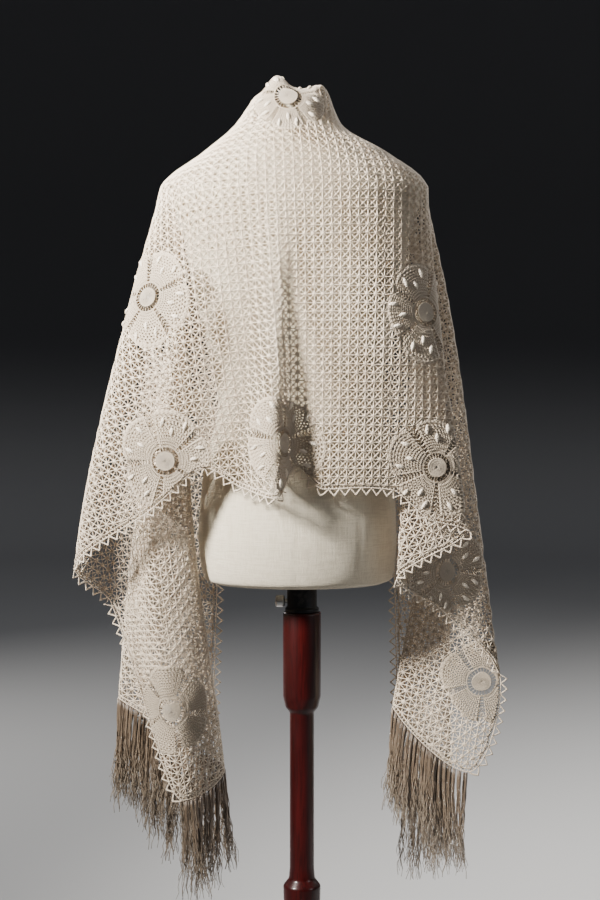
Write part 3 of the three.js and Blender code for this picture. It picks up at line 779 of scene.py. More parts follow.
@dataclass(frozen=True)
class SilkFringe:
    """Loose silky strands, brown at the root and paler at the ends."""

    name: str = "silk_fringe"
    strand_scale: float = 37.0
    fibre_scale: tuple[float, float, float] = (4.0, 400.0, 1.0)
    relief: float = 0.0003
    root: Colour = (0.14, 0.098, 0.064)
    middle: Colour = (0.20, 0.148, 0.102)
    end: Colour = (0.35, 0.285, 0.215)

    def build(self) -> bpy.types.Material:
        """Colour down the strand and from strand to strand, with fine lengthwise fibres."""
        g = Graph(self.name)
        down, _, _ = g.axes(g.coordinates(uv=True))
        tone = g.noise(g.coordinates((0.0, self.strand_scale, 0.0), uv=True), detail=0.0)
        fibres = g.noise(g.coordinates(self.fibre_scale, uv=True))
        colour = g.ramp(down + 0.5 * (tone - 0.5), ((0.0, self.root), (0.45, self.middle), (1.0, self.end)))
        g.set(Base_Color=colour, Roughness=0.38 + 0.2 * fibres)
        g.set(Sheen_Weight=0.4, Sheen_Roughness=0.35, Specular_IOR_Level=0.6)
        g.bump(fibres, 0.3, self.relief)
        return g.material


@dataclass(frozen=True)
class LinenCover:
    """Plain woven linen over the form."""

    name: str = "linen_cover"
    light: Colour = (0.74, 0.67, 0.53)
    dull: Colour = (0.54, 0.47, 0.35)
    threads: float = 1150.0
    level_slubs: tuple[float, float, float] = (40.0, 40.0, 560.0)
    upright_slubs: tuple[float, float, float] = (560.0, 560.0, 35.0)
    patch_scale: float = 5.0
    relief: float = 0.0008

    def build(self) -> bpy.types.Material:
        """Warp and weft as two crossed sines of the cover's own places, so many to a metre, with slubs."""
        g = Graph(self.name)
        u, v, _ = g.axes(g.coordinates(uv=True))
        weave = ((u * (CIRCLE * self.threads)).sin() * (v * (CIRCLE * self.threads)).sin()) * 0.5 + 0.5
        slubs = g.noise(g.coordinates(self.level_slubs)) + g.noise(g.coordinates(self.upright_slubs))
        broad = g.noise(g.coordinates(), self.patch_scale, 3.0)
        colour = g.mix(broad.over(0.5, 0.25) * 0.6, self.light, self.dull)
        colour = g.mix(weave * 0.35, colour, self.dull)
        colour = g.mix((1.1 - slubs).over(0.12, 0.12) * 0.6, colour, self.dull)
        g.set(Base_Color=colour, Roughness=0.85 + 0.1 * weave, Specular_IOR_Level=0.2)
        g.set(Sheen_Weight=0.2, Sheen_Roughness=0.6)
        g.bump(0.5 * weave + 1.5 * slubs, 0.5, self.relief)
        return g.material


class Grain(Enum):
    """Which way the grain of a wooden piece runs."""

    UPRIGHT = (26.0, 26.0, 1.6)
    LEVEL = (5.0, 5.0, 30.0)


@dataclass(frozen=True)
class Mahogany:
    """Polished red wood."""

    name: str = "mahogany"
    dark: Colour = (0.007, 0.0006, 0.0006)
    red: Colour = (0.028, 0.0014, 0.0014)
    bright: Colour = (0.060, 0.0035, 0.003)
    grain: Grain = Grain.UPRIGHT
    pore_share: float = 12.0
    wear_scale: float = 14.0
    relief: float = 0.0004

    def build(self) -> bpy.types.Material:
        """Stretched noise for the grain, fine pores, and a clear polish with handling marks."""
        g = Graph(f"{self.name}_{self.grain.name.lower()}")
        bands = g.noise(g.coordinates(self.grain.value), 1.3, 5.0, 0.6)
        pores = g.noise(g.coordinates(tuple(self.pore_share * k for k in self.grain.value)), 1.5, 2.0)
        wear = g.noise(g.coordinates(), self.wear_scale, 3.0)
        colour = g.ramp(bands, ((0.28, self.dark), (0.5, self.red), (0.75, self.bright)))
        colour = g.mix((1 - pores.over(0.45, 0.08)) * 0.5, colour, self.dark)
        g.set(Base_Color=colour, Roughness=0.24 + 0.22 * wear, Specular_IOR_Level=0.25)
        g.set(Coat_Weight=0.22, Coat_Roughness=0.12)
        g.bump(pores + bands, 0.12, self.relief)
        return g.material


@dataclass(frozen=True)
class CastIron:
    """Black japanned iron."""

    name: str = "black_iron"
    casting_scale: float = 420.0
    rub_scale: float = 60.0
    relief: float = 0.0004
    black: Colour = (0.012, 0.012, 0.014)
    rubbed: Colour = (0.09, 0.085, 0.08)

    def build(self) -> bpy.types.Material:
        """Black finish, rubbed paler in patches, on a slightly rough casting."""
        g = Graph(self.name)
        casting = g.noise(g.coordinates(), self.casting_scale, 3.0)
        rub = g.noise(g.coordinates(), self.rub_scale, 4.0).over(0.62, 0.1)
        g.set(Base_Color=g.mix(rub * 0.7, self.black, self.rubbed))
        g.set(Roughness=0.34 + 0.2 * casting, Metallic=0.55 + 0.4 * rub)
        g.bump(casting, 0.25, self.relief)
        return g.material


@dataclass(frozen=True)
class TurnedSteel:
    """Bright steel with fine turning marks."""

    name: str = "bright_steel"
    turning_scale: tuple[float, float, float] = (20.0, 20.0, 2600.0)
    dull_scale: float = 45.0
    relief: float = 0.0002
    steel: Colour = (0.62, 0.61, 0.59)
    dull: Colour = (0.40, 0.39, 0.37)

    def build(self) -> bpy.types.Material:
        """Fine rings, and dull patches where it has been handled."""
        g = Graph(self.name)
        rings = g.noise(g.coordinates(self.turning_scale))
        dull = g.noise(g.coordinates(), self.dull_scale, 4.0).over(0.55, 0.15)
        g.set(Base_Color=g.mix(dull, self.steel, self.dull), Metallic=1.0)
        g.set(Roughness=0.2 + 0.15 * rings + 0.15 * dull)
        g.bump(rings, 0.1, self.relief)
        return g.material


@dataclass(frozen=True)
class StudioPaint:
    """Plain paint: pale on the floor, deeper up the wall."""

    name: str = "studio_paint"
    mottle_scale: float = 3.0
    halfway: float = 0.6
    floor: Colour = (0.54, 0.535, 0.53)
    wall: Colour = (0.11, 0.11, 0.115)

    def build(self) -> bpy.types.Material:
        """Even paint with a faint unevenness, shaded from the floor to the wall by its height."""
        g = Graph(self.name)
        mottle = g.noise(g.coordinates(), self.mottle_scale)
        _, _, height = g.axes(g.coordinates())
        g.set(Base_Color=g.mix(height.over(self.halfway, self.halfway), self.floor, self.wall))
        g.set(Roughness=0.7 + 0.1 * mottle, Specular_IOR_Level=0.2)
        return g.material


def mesh_object(
    name: str, points: Array, faces: Array, material: bpy.types.Material, uv: Array | None = None
) -> bpy.types.Object:
    """Make an object at the origin from points in millimetres and faces, and shade it smooth.

    Args:
        name: the piece's name.
        points: (n, 3) points of the frame in millimetres.
        faces: (m, 4) corners, counter-clockwise from outside; one repeated next to itself makes a triangle.
        material: its finish.
        uv: (n, 2) own places for a pattern.

    Returns:
        The linked object.
    """
    mesh = bpy.data.meshes.new(name)
    keep = faces != np.roll(faces, 1, axis=1)
    sizes = keep.sum(axis=1)
    loops = faces[keep]
    mesh.vertices.add(len(points))
    mesh.vertices.foreach_set("co", (points * MM).astype(np.float32).ravel())
    mesh.loops.add(len(loops))
    mesh.loops.foreach_set("vertex_index", loops.astype(np.int32))
    mesh.polygons.add(len(faces))
    mesh.polygons.foreach_set("loop_start", np.concatenate([[0], np.cumsum(sizes)[:-1]]).astype(np.int32))
    mesh.polygons.foreach_set("use_smooth", np.ones(len(faces), bool))
    if uv is not None:
        layer = mesh.uv_layers.new(name="pattern")
        layer.data.foreach_set("uv", uv[loops].astype(np.float32).ravel())
    mesh.update(calc_edges=True)
    mesh.validate()
    made = bpy.data.objects.new(name, mesh)
    made.data.materials.append(material)
    bpy.context.scene.collection.objects.link(made)
    log.info("%s: %d points, %d faces", name, len(points), len(faces))
    return made


def dress(piece: bpy.types.Object, body: str, node: str = "") -> None:
    """Give a piece its body, and hide the solid that it stands for.

    Args:
        piece: the object.
        body: the body that it rides on.
        node: the solid's node, or nothing where it stands for none.
    """
    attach(piece, body)
    if node:
        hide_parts(node)


def joined(parts: Sequence[Mesh]) -> Mesh:
    """Join meshes of points, faces and own places into one.

    Args:
        parts: meshes, each as points, faces of four corners, and own places.

    Returns:
        One mesh of the same kind.
    """
    starts = np.cumsum([0] + [len(points) for points, _, _ in parts[:-1]])
    return (
        np.concatenate([points for points, _, _ in parts]),
        np.concatenate([faces + start for (_, faces, _), start in zip(parts, starts)]),
        np.concatenate([uv for _, _, uv in parts]),
    )


def bands(ids: Array) -> Array:
    """Faces between neighbouring rings of points, each ring closed on itself.

    Args:
        ids: (..., n, m) indices of points, a row for each ring.

    Returns:
        (f, 4) faces.
    """
    after = np.roll(ids, -1, axis=-1)
    corners = [ids[..., :-1, :], after[..., :-1, :], after[..., 1:, :], ids[..., 1:, :]]
    return np.stack(corners, axis=-1).reshape(-1, 4)


def turned_over(faces: Array) -> Array:
    """Faces with their other side out, each from the same first corner."""
    return faces[:, [0, 3, 2, 1]]


def capped(grid: Array, ends: Array) -> tuple[Array, Array]:
    """Tube through rings of points, closed by a fan of triangles at either end.

    Args:
        grid: (n, m, 3) points, a row for each ring.
        ends: (2, 3) middles of the first fan and the last.

    Returns:
        (n m + 2, 3) points and (f, 4) faces.
    """
    n, m, _ = grid.shape
    ids = np.arange(n * m).reshape(n, m)
    after = np.roll(ids, -1, axis=1)
    first = np.stack([np.full(m, n * m), after[0], ids[0], ids[0]], axis=-1)
    last = np.stack([np.full(m, n * m + 1), ids[-1], after[-1], after[-1]], axis=-1)
    return np.concatenate([grid.reshape(-1, 3), ends]), np.concatenate([bands(ids), first, last])


def outwards(points: Array, faces: Array) -> Array:
    """Turn a closed mesh's faces round if it encloses less than nothing."""
    a, b, c, d = (points[faces[:, k]] for k in range(4))
    volume = np.einsum("ij,ij->i", a, np.cross(b, c)).sum() + np.einsum("ij,ij->i", a, np.cross(c, d)).sum()
    return faces[:, ::-1] if volume < 0 else faces


def plate(places: Array, thick: Array, keep: Array) -> Flat:
    """Closed plate of cloth over the kept squares of a grid, in flat places and heights.

    The top is at +thick and the bottom at -thick, and a wall joins them where a kept square meets none.

    Args:
        places: (m, n, 2) flat places.
        thick: (m, n) half thickness at each.
        keep: (m - 1, n - 1) which squares are cloth.

    Returns:
        (p, 2) flat places, (p,) heights and (f, 4) faces.
    """
    m, n, _ = places.shape
    ids = np.arange(m * n).reshape(m, n)
    a, b, c, d = ids[:-1, :-1], ids[1:, :-1], ids[1:, 1:], ids[:-1, 1:]
    top = np.stack([a, b, c, d], axis=-1)[keep]
    under = m * n
    faces = [top, top[:, ::-1] + under]
    fenced = np.pad(keep, 1)
    inside = fenced[1:-1, 1:-1]
    for shifted, one, two in (
        (fenced[:-2, 1:-1], a, d),
        (fenced[2:, 1:-1], c, b),
        (fenced[1:-1, :-2], b, a),
        (fenced[1:-1, 2:], d, c),
    ):
        rim = inside & ~shifted
        p, q = one[rim], two[rim]
        faces.append(np.stack([p, q, q + under, p + under], axis=-1))
    flat = np.concatenate([places.reshape(-1, 2)] * 2)
    height = np.concatenate([thick.ravel(), -thick.ravel()])
    faces = np.concatenate(faces)
    used, again = np.unique(faces, return_inverse=True)
    return flat[used], height[used], again.reshape(faces.shape)


@dataclass(frozen=True)
class Blossom:
    """One crocheted flower: its place on the cloth, petals, leaves on each petal, reach and turn."""

    across: float
    level: float
    petals: int
    leaves: int
    reach: float
    turn: float


BLOSSOMS = (
    Blossom(fold("left_fall_fold") + 0.55, 6.63, 5, 3, 72, 0.2),
    Blossom(fold("left_fall") + 0.25, 9.0, 5, 3, 74, 0.5),
    Blossom(fold("left_corner") + 0.1, 12.75, 5, 2, 64, 0.1),
    Blossom(fold("ridge") + 0.45, 8.72, 5, 3, 72, 0.3),
    Blossom(fold("right_fall") + 0.25, 9.1, 5, 3, 74, 0.95),
    Blossom(fold("right_fall") + 0.35, 6.85, 5, 3, 70, 0.15),
    Blossom(fold("right_tail_fold") + 0.6, 12.4, 5, 2, 62, 0.3),
    Blossom(fold("right_under") + 0.1, 10.7, 5, 3, 64, 0.4),
    Blossom(fold("ridge") + 0.5, 1.95, 5, 3, 56, 0.25),
    Blossom(fold("left_under_fold") + 0.1, 10.75, 5, 3, 66, 0.7),
    Blossom(fold("left_inner") - 0.1, 8.6, 5, 3, 62, 0.5),
    Blossom(fold("right_inner") + 0.05, 8.4, 5, 3, 62, 0.1),
)


@dataclass(frozen=True)
class Leaf:
    """A raised leaf of a petal: how far out and round it lies, its half length, and its lean."""

    out: float
    turn: float
    length: float
    lean: float


LEAVES = (Leaf(50.0, -0.28, 7.4, 0.25), Leaf(48.0, 0.3, 7.8, -0.3), Leaf(37.0, 0.02, 7.0, 0.1))
LEAF_REACH = 62.0
LEAF_WIDTH, LEAF_LIFT, LEAF_ROUND = 3.0, 1.7, 0.9


@dataclass
class Lace:
    """The crocheted cloth: an open net of squares with crossed threads, and flowers set into it.

    A flower has a disc, a ring of openings between two circles of its radii, and petals beyond them.
    """

    drape: Drape
    material: bpy.types.Material
    petals: bpy.types.Material
    square: float = 12.5
    thread: float = 1.55
    knot: float = 1.6
    cross: float = 1.2
    jitter: float = 0.45
    overlap: float = 5.0
    corner_cut: tuple[float, float, float] = (0.2, 0.2, 0.14)
    draw_limits: tuple[float, float] = (0.12, 0.95)
    radii: tuple[float, ...] = (0.4, 3.5, 6.5, 9, 11, 12.6, 13.5, 14.2, 20.8, 21.8, 23.2)
    ring_row: int = 7
    bar_columns: int = 5
    bar_lean: float = 0.25
    petal_columns: int = 25
    petal_rows: int = 24
    ladder_rows: int = 3
    ladder_columns: int = 2
    stitch_circle: float = 36.0
    pieces: tuple[tuple[str, str, str], ...] = (
        ("shawl_left_tail", "left_edge", "left_valley"),
        ("shawl_left_fall", "left_valley", "left_side"),
        ("shawl_back", "left_side", "right_side"),
        ("shawl_right_fall", "right_side", "right_valley"),
        ("shawl_right_tail", "right_valley", "right_edge"),
    )

    def outline(self, blossom: Blossom, angle: Array) -> Array:
        """Reach of a flower's petals at an angle: full in a petal's middle, short between two."""
        turned = angle - blossom.turn
        wave = np.abs(np.sin(0.5 * blossom.petals * turned))
        uneven = 1 + 0.07 * np.sin(2 * turned + 3 * blossom.across)
        uneven = uneven + 0.04 * np.sin(3 * turned + blossom.level)
        return blossom.reach * uneven * (0.84 + 0.16 * wave**0.5)

    def opening(self, blossom: Blossom) -> float:
        """Area of the net that a flower takes the place of, in square millimetres."""
        angle = np.linspace(0, CIRCLE, 361)[:-1]
        return float(math.pi * np.mean((self.outline(blossom, angle) - self.overlap) ** 2))

    def net(self) -> tuple[Array, Array, Array, Array, int]:
        """Lattice and gaps of the net in the flat plane.

        Squares with a knot at each corner and a crossing in each middle, and four gaps to a square. A
        gap is kept where it lies on the cloth and outside the flowers.

        Returns:
            (k, 2) knots and then crossings, (g, 3) corners of each gap, (g, 2) their centres, (g,)
            thread widths round them as shares of the usual, and how many knots there are.
        """
        low, high = self.drape.flat.min(axis=(0, 1)), self.drape.flat.max(axis=(0, 1))
        count = np.ceil((high - low) / self.square).astype(int) + 2
        rng = np.random.default_rng(7)
        gx, gy = np.meshgrid(np.arange(count[0] + 1), np.arange(count[1] + 1), indexing="ij")
        corners = low - self.square + self.square * np.stack([gx, gy], axis=-1)
        corners += rng.normal(0, self.jitter, corners.shape)
        middles = 0.25 * (corners[:-1, :-1] + corners[1:, :-1] + corners[1:, 1:] + corners[:-1, 1:])
        middles += rng.normal(0, self.jitter * 0.6, middles.shape)
        lattice = np.concatenate([corners.reshape(-1, 2), middles.reshape(-1, 2)])
        ids = np.arange((count[0] + 1) * (count[1] + 1)).reshape(count[0] + 1, count[1] + 1)
        a, b, c, d = (x.ravel() for x in (ids[:-1, :-1], ids[1:, :-1], ids[1:, 1:], ids[:-1, 1:]))
        e = ids.size + np.arange(len(a))
        gaps = np.concatenate([np.stack(t, axis=-1) for t in ((a, b, e), (b, c, e), (c, d, e), (d, a, e))])
        centre = lattice[gaps].mean(axis=1)
        _, _, off = self.drape.locate(centre)
        keep = off < 1.0
        for blossom in BLOSSOMS:
            way = centre - self.drape.flat_at(blossom.across, blossom.level)
            angle = np.arctan2(way[:, 1], way[:, 0])
            keep &= np.hypot(way[:, 0], way[:, 1]) > self.outline(blossom, angle) - self.overlap
        return lattice, gaps[keep], centre[keep], rng.uniform(0.85, 1.15, keep.sum()), ids.size

    def gap_mesh(self, lattice: Array, gaps: Array, wide: Array, knots: int) -> Flat:
        """Threads round each gap, closed above and below.

        The gap's triangle is drawn in by half a thread from its three threads, and its corners are cut
        off, more at a knot than at a crossing. Threads are highest on the lattice and meet at the rim.

        Args:
            lattice: (k, 2) knots and crossings.
            gaps: (g, 3) corners of each gap, the last a crossing.
            wide: (g,) thread width of each, as a share of the usual.
            knots: how many lattice points are knots.

        Returns:
            (p, 2) flat places, (p,) heights and (f, 4) faces.
        """
        corner = lattice[gaps]
        side = np.linalg.norm(np.roll(corner, -1, axis=1) - np.roll(corner, 1, axis=1), axis=2)
        incentre = (side[..., None] * corner).sum(axis=1) / side.sum(axis=1)[:, None]
        u, v = corner[:, 1] - corner[:, 0], corner[:, 2] - corner[:, 0]
        inradius = np.abs(u[:, 0] * v[:, 1] - u[:, 1] * v[:, 0]) / side.sum(axis=1)
        draw = np.clip(1 - 0.5 * self.thread * wide / np.maximum(inradius, 1e-6), *self.draw_limits)
        inner = incentre[:, None] + (corner - incentre[:, None]) * draw[:, None, None]
        cut = np.array(self.corner_cut)[None, :, None]
        after = inner + (np.roll(inner, -1, axis=1) - inner) * cut
        before = inner + (np.roll(inner, 1, axis=1) - inner) * cut
        rim = np.stack([before, after], axis=2).reshape(len(gaps), 6, 2)
        rim_ids = np.arange(len(gaps) * 6).reshape(len(gaps), 6)
        used, again = np.unique(gaps, return_inverse=True)
        again = again.reshape(gaps.shape)
        upper = rim_ids.size + again
        lower = upper + len(used)
        high = np.where(used < knots, self.knot, self.cross)
        flat = np.concatenate([rim.reshape(-1, 2), lattice[used], lattice[used]])
        height = np.concatenate([np.zeros(rim_ids.size), high, -high])
        faces = []
        for k in range(3):
            p, q = rim_ids[:, 2 * k], rim_ids[:, 2 * k + 1]
            r = rim_ids[:, (2 * k + 2) % 6]
            one, two = k, (k + 1) % 3
            faces.append(np.stack([upper[:, one], q, p, p], axis=-1))
            faces.append(np.stack([upper[:, one], upper[:, two], r, q], axis=-1))
            faces.append(np.stack([lower[:, one], p, q, q], axis=-1))
            faces.append(np.stack([lower[:, one], q, r, lower[:, two]], axis=-1))
        one, two, size = again.ravel(), np.roll(again, -1, axis=1).ravel(), len(used)
        rim_edge = ~np.isin(one * size + two, two * size + one)
        one, two = one[rim_edge] + rim_ids.size, two[rim_edge] + rim_ids.size
        faces.append(np.stack([one, one + size, two + size, two], axis=-1))
        return flat, height, np.concatenate(faces)

    def flower(self, blossom: Blossom) -> Flat:
        """One flower as a lobed round plate.

        Rows go out from the middle to the petals' outline. A solid disc, a ring of narrow openings, and
        ridged petals with a ladder of openings between each two.

        Args:
            blossom: the flower.

        Returns:
            (p, 2) flat places, (p,) heights and (f, 4) faces.
        """
        columns = self.petal_columns * blossom.petals
        step = np.arange(columns + 1)
        angle = blossom.turn + CIRCLE * step / columns
        inner = np.array(self.radii)
        share = np.linspace(0, 1, self.petal_rows + 1)[1:]
        radius = np.concatenate([
            np.repeat(inner[:, None], columns + 1, axis=1),
            inner[-1] + share[:, None] * (self.outline(blossom, angle)[None, :] - inner[-1]),
        ])
        circle, column = np.arange(len(radius)), np.arange(columns)
        of_ring = (circle == self.ring_row) | (circle == self.ring_row + 1)
        side = step % self.bar_columns
        lean = np.where(side == 0, self.bar_lean, np.where(side == 1, -self.bar_lean, 0)) * CIRCLE / columns
        angle = angle + lean * of_ring[:, None]
        centre = self.drape.flat_at(blossom.across, blossom.level)
        places = centre + radius[..., None] * np.stack([np.cos(angle), np.sin(angle)], axis=-1)
        keep = ~((circle[:-1, None] == self.ring_row) & (column % self.bar_columns > 0))
        in_petal = column % self.petal_columns
        from_valley = np.minimum(in_petal, self.petal_columns - 1 - in_petal)
        row = circle[:-1, None] - (len(inner) - 1)
        ladder = (row >= 0) & (row < self.petal_rows - 1) & (row % self.ladder_rows != self.ladder_rows - 1)
        keep &= ~(ladder & (from_valley < self.ladder_columns))
        stitched = (row % 2 == 0) & (row >= 0) & (row < self.petal_rows - 2)
        keep &= ~(stitched & (from_valley > self.ladder_columns) & ((column + row // 2) % 2 == 0))
        lobe = np.abs(np.sin(0.5 * blossom.petals * (angle - blossom.turn)))
        wave = np.where(circle % 2 == 0, 1.0, -1.0)[:, None]
        disc_half = 1.8 + 0.35 * wave
        petal_half = 1.15 + 0.42 * wave + 0.5 * lobe * (radius > inner[-1])
        thick = np.where(circle[:, None] <= self.ring_row, disc_half, petal_half)
        thick[-1] *= 0.35
        return plate(places, thick, keep)

    def leaves(self, blossom: Blossom) -> Flat:
        """Raised pointed leaves on a flower's petals, each a closed almond dome on the cloth.

        Along a leaf s runs from -1 to 1, and its half width goes with the cosine of a quarter circle
        times s, to the power 0.8. Its section is an ellipse that is lifted off the petal.

        Args:
            blossom: the flower.

        Returns:
            (p, 2) flat places, (p,) heights and (f, 4) faces.
        """
        kinds = LEAVES[: blossom.leaves]
        out, turn, length, lean = (
            np.tile([getattr(leaf, key) for leaf in kinds], blossom.petals)
            for key in ("out", "turn", "length", "lean")
        )
        petal = np.repeat(np.arange(blossom.petals), len(kinds))
        angle = blossom.turn + CIRCLE * (petal + 0.5) / blossom.petals + turn
        radius, way = out * blossom.reach / LEAF_REACH, angle + lean
        s, t = np.meshgrid(np.linspace(-1, 1, 10), np.linspace(0, CIRCLE, 11)[:-1], indexing="ij")
        wide = LEAF_WIDTH * np.cos(0.5 * math.pi * s) ** 0.8
        x = (s[None] * length[:, None, None]).reshape(len(angle), -1)
        y = np.repeat((wide * np.cos(t)).reshape(1, -1), len(angle), axis=0)
        rise = LEAF_LIFT + (LEAF_ROUND * wide * np.sin(t)).reshape(-1)
        centre = self.drape.flat_at(blossom.across, blossom.level)
        px = centre[0] + radius * np.cos(angle)
        py = centre[1] + radius * np.sin(angle)
        flat = np.stack([
            px[:, None] + x * np.cos(way)[:, None] - y * np.sin(way)[:, None],
            py[:, None] + x * np.sin(way)[:, None] + y * np.cos(way)[:, None],
        ], axis=-1)
        one = turned_over(bands(np.arange(s.size).reshape(s.shape)))
        faces = (one[None] + (np.arange(len(angle)) * s.size)[:, None, None]).reshape(-1, 4)
        return flat.reshape(-1, 2), np.tile(rise, len(angle)), faces

    def build(self) -> None:
        """Make the net of each piece and the flowers on it, and say what each replaces."""
        lattice, gaps, centre, wide, knots = self.net()
        log.info("net: %d gaps", len(gaps))
        across = self.drape.locate(centre)[0] / self.drape.per_fold
        for name, start, stop in self.pieces:
            first, last = fold(start), fold(stop)
            mine = (across >= first) & (across < last + (stop == FOLDS[-1].name))
            flat, height, faces = self.gap_mesh(lattice, gaps[mine], wide[mine], knots)
            points = self.drape.lay(flat, height)
            net = mesh_object(name.replace("shawl", "lace"), points, faces, self.material, flat * MM)
            part = self.drape.flat[first * self.drape.per_fold : last * self.drape.per_fold + 1]
            cell = np.cross(np.diff(part, axis=0)[:, :-1], np.diff(part, axis=1)[:-1])
            set_in = [(k, blossom) for k, blossom in enumerate(BLOSSOMS, 1) if first <= blossom.across < last]
            flowers = [self.flower_object(number, blossom) for number, blossom in set_in]
            area = np.abs(cell).sum() - sum(self.opening(blossom) for _, blossom in set_in)
            box = part.max(axis=(0, 1)) - part.min(axis=(0, 1))
            self.finish(name, net, flowers, box * MM)

    def flower_object(self, number: int, blossom: Blossom) -> bpy.types.Object:
        """Make one flower with its leaves as an object, and mark the leaves by their own places."""
        centre = self.drape.flat_at(blossom.across, blossom.level)
        meshes = [
            (self.drape.lay(flat, height), faces, self.rounds(flat - centre) + np.array([0.0, part]))
            for part, (flat, height, faces) in enumerate((self.flower(blossom), self.leaves(blossom)))
        ]
        points, faces, uv = joined(meshes)
        return mesh_object(f"flower_{number}", points, faces, self.petals, uv)

    def rounds(self, way: Array) -> Array:
        """Own places of a flower in metres: round it on one circle, and out from its middle."""
        around = self.stitch_circle * np.arctan2(way[:, 1], way[:, 0])
        return np.stack([around, np.hypot(way[:, 0], way[:, 1])], axis=-1) * MM

    def finish(
        self, name: str, net: bpy.types.Object, flowers: list[bpy.types.Object], box: Array
    ) -> None:
        """Set the body, slot and cut of a piece of lace and its flowers.

        Args:
            name: the solid that it stands for.
            net: its net.
            flowers: the flowers set into it.
            box: (2,) width and length of the flat cut in metres; not used.
        """
        dress(net, "form", name)
        for flower in flowers:
            dress(flower, "form")


@dataclass
class Border:
    """A border of the cloth as a path, with the ways out of the cloth and up from it at each place."""

    centre: Array
    away: Array
    up: Array

    @classmethod
    def of(cls, drape: Drape, i: Array, j: Array, way: Array) -> "Border":
        """Border through places of the grid.

        Args:
            drape: the cloth.
            i: (n,) places along the grid's first axis.
            j: (n,) places along its second axis.
            way: (n, 3) rough ways out of the cloth.

        Returns:
            The border, its way out square to its own run.
        """
        centre = sample(drape.places, i, j)
        run = unit(np.gradient(centre, axis=0))
        away = unit(way - np.einsum("ij,ij->i", way, run)[:, None] * run)
        return cls(centre, away, unit(sample(drape.outward, i, j)))

    @classmethod
    def lower(cls, drape: Drape, start: str, stop: str) -> "Border":
        """The lower edge between two fold lines."""
        i = np.arange(fold(start) * drape.per_fold, fold(stop) * drape.per_fold + 0.5, 0.5)
        j = np.full(len(i), drape.rows, float)
        return cls.of(drape, i, j, sample(drape.down, i, j))

    @classmethod
    def front(cls, drape: Drape, name: str, sign: float) -> "Border":
        """A front edge from collar to lower edge."""
        j = np.arange(0, drape.rows + 0.5, 0.5)
        i = np.full(len(j), fold(name) * drape.per_fold, float)
        return cls.of(drape, i, j, sign * sample(drape.right, i, j))

    @classmethod
    def collar(cls, drape: Drape) -> "Border":
        """The upper edge round the neck."""
        i = np.arange(0, (len(FOLDS) - 1) * drape.per_fold + 0.5, 0.5)
        j = np.zeros(len(i))
        return cls.of(drape, i, j, -sample(drape.down, i, j))

    @property
    def lengths(self) -> Array:
        """Length of the path up to each of its points."""
        steps = np.linalg.norm(np.diff(self.centre, axis=0), axis=1)
        return np.concatenate([[0], np.cumsum(steps)])

    def at(self, distance: Array) -> tuple[Array, Array, Array]:
        """Points and ways of the border at distances along it."""
        lengths = self.lengths
        read = [
            np.stack([np.interp(distance, lengths, values[:, k]) for k in range(3)], axis=-1)
            for values in (self.centre, self.away, self.up)
        ]
        return read[0], unit(read[1]), unit(read[2])

    def lay(self, flat: Array, height: Array) -> Array:
        """Put (distance along, distance out) places and heights on the border."""
        centre, away, up = self.at(flat[:, 0])
        return centre + flat[:, 1:2] * away + height[:, None] * up


@dataclass
class Edging:
    """Crocheted edging along a border: two chains with openings between, and a row of pointed picots."""

    border: Border
    name: str
    material: bpy.types.Material
    pitch: float = 16.0
    peak: float = 10.6
    band: float = 3.0
    plain: bool = False
    per_picot: int = 12
    per_opening: int = 4
    chains: tuple[tuple[float, float], ...] = (
        (-3.6, 0.5), (-2.9, 1.2), (-2.2, 0.6), (1.8, 0.6), (2.5, 1.3), (3.3, 0.8),
    )
    picot_rows: tuple[float, float, float] = (0.5, 0.9, 0.4)
    tip: float = 3.6

    def mesh(self) -> Mesh:
        """Work out the edging as a plate along the border.

        Rows go out from the cloth, each with its place and half thickness: a chain, a row of square
        openings, a second chain, and a band of thread on the picots' outline, a triangle wave, open
        inside.

        Returns:
            (p, 3) points, (f, 4) faces and (p, 2) own places.
        """
        total = self.border.lengths[-1]
        columns = self.per_picot * max(int(round(total / self.pitch)), 1)
        column = np.arange(columns + 1)
        x = column / columns * total
        point = 1 - np.abs(2 * (column % self.per_picot) / self.per_picot - 1)
        out = self.peak * point**0.9
        y = [np.full(len(x), place) for place, _ in self.chains]
        thick = [np.full(len(x), half) for _, half in self.chains]
        if not self.plain:
            foot = self.chains[-1][0]
            opening = np.maximum(out - self.band, 0.25)
            y += [foot + opening, foot + 0.5 * (opening + out) + 0.3, self.tip + out]
            thick += [np.full(len(x), half) for half in self.picot_rows]
        y, thick = np.array(y), np.array(thick)
        keep = np.ones((len(y) - 1, columns), bool)
        cell = np.arange(columns) % self.per_picot
        keep[2] = cell % self.per_opening == 0
        if not self.plain:
            keep[len(self.chains) - 1] = (cell == 0) | (cell == self.per_picot - 1)
        places = np.stack([np.repeat(x[None], len(y), axis=0), y], axis=-1)
        flat, height, faces = plate(places.swapaxes(0, 1), thick.T, keep.T)
        return self.border.lay(flat, height), faces, flat * MM

    def build(self, node: str = "") -> None:
        """Make the edging and say which solid it stands for, if any."""
        points, faces, uv = self.mesh()
        made = mesh_object(self.name, points, outwards(points, faces), self.material, uv)
        dress(made, "form", node)


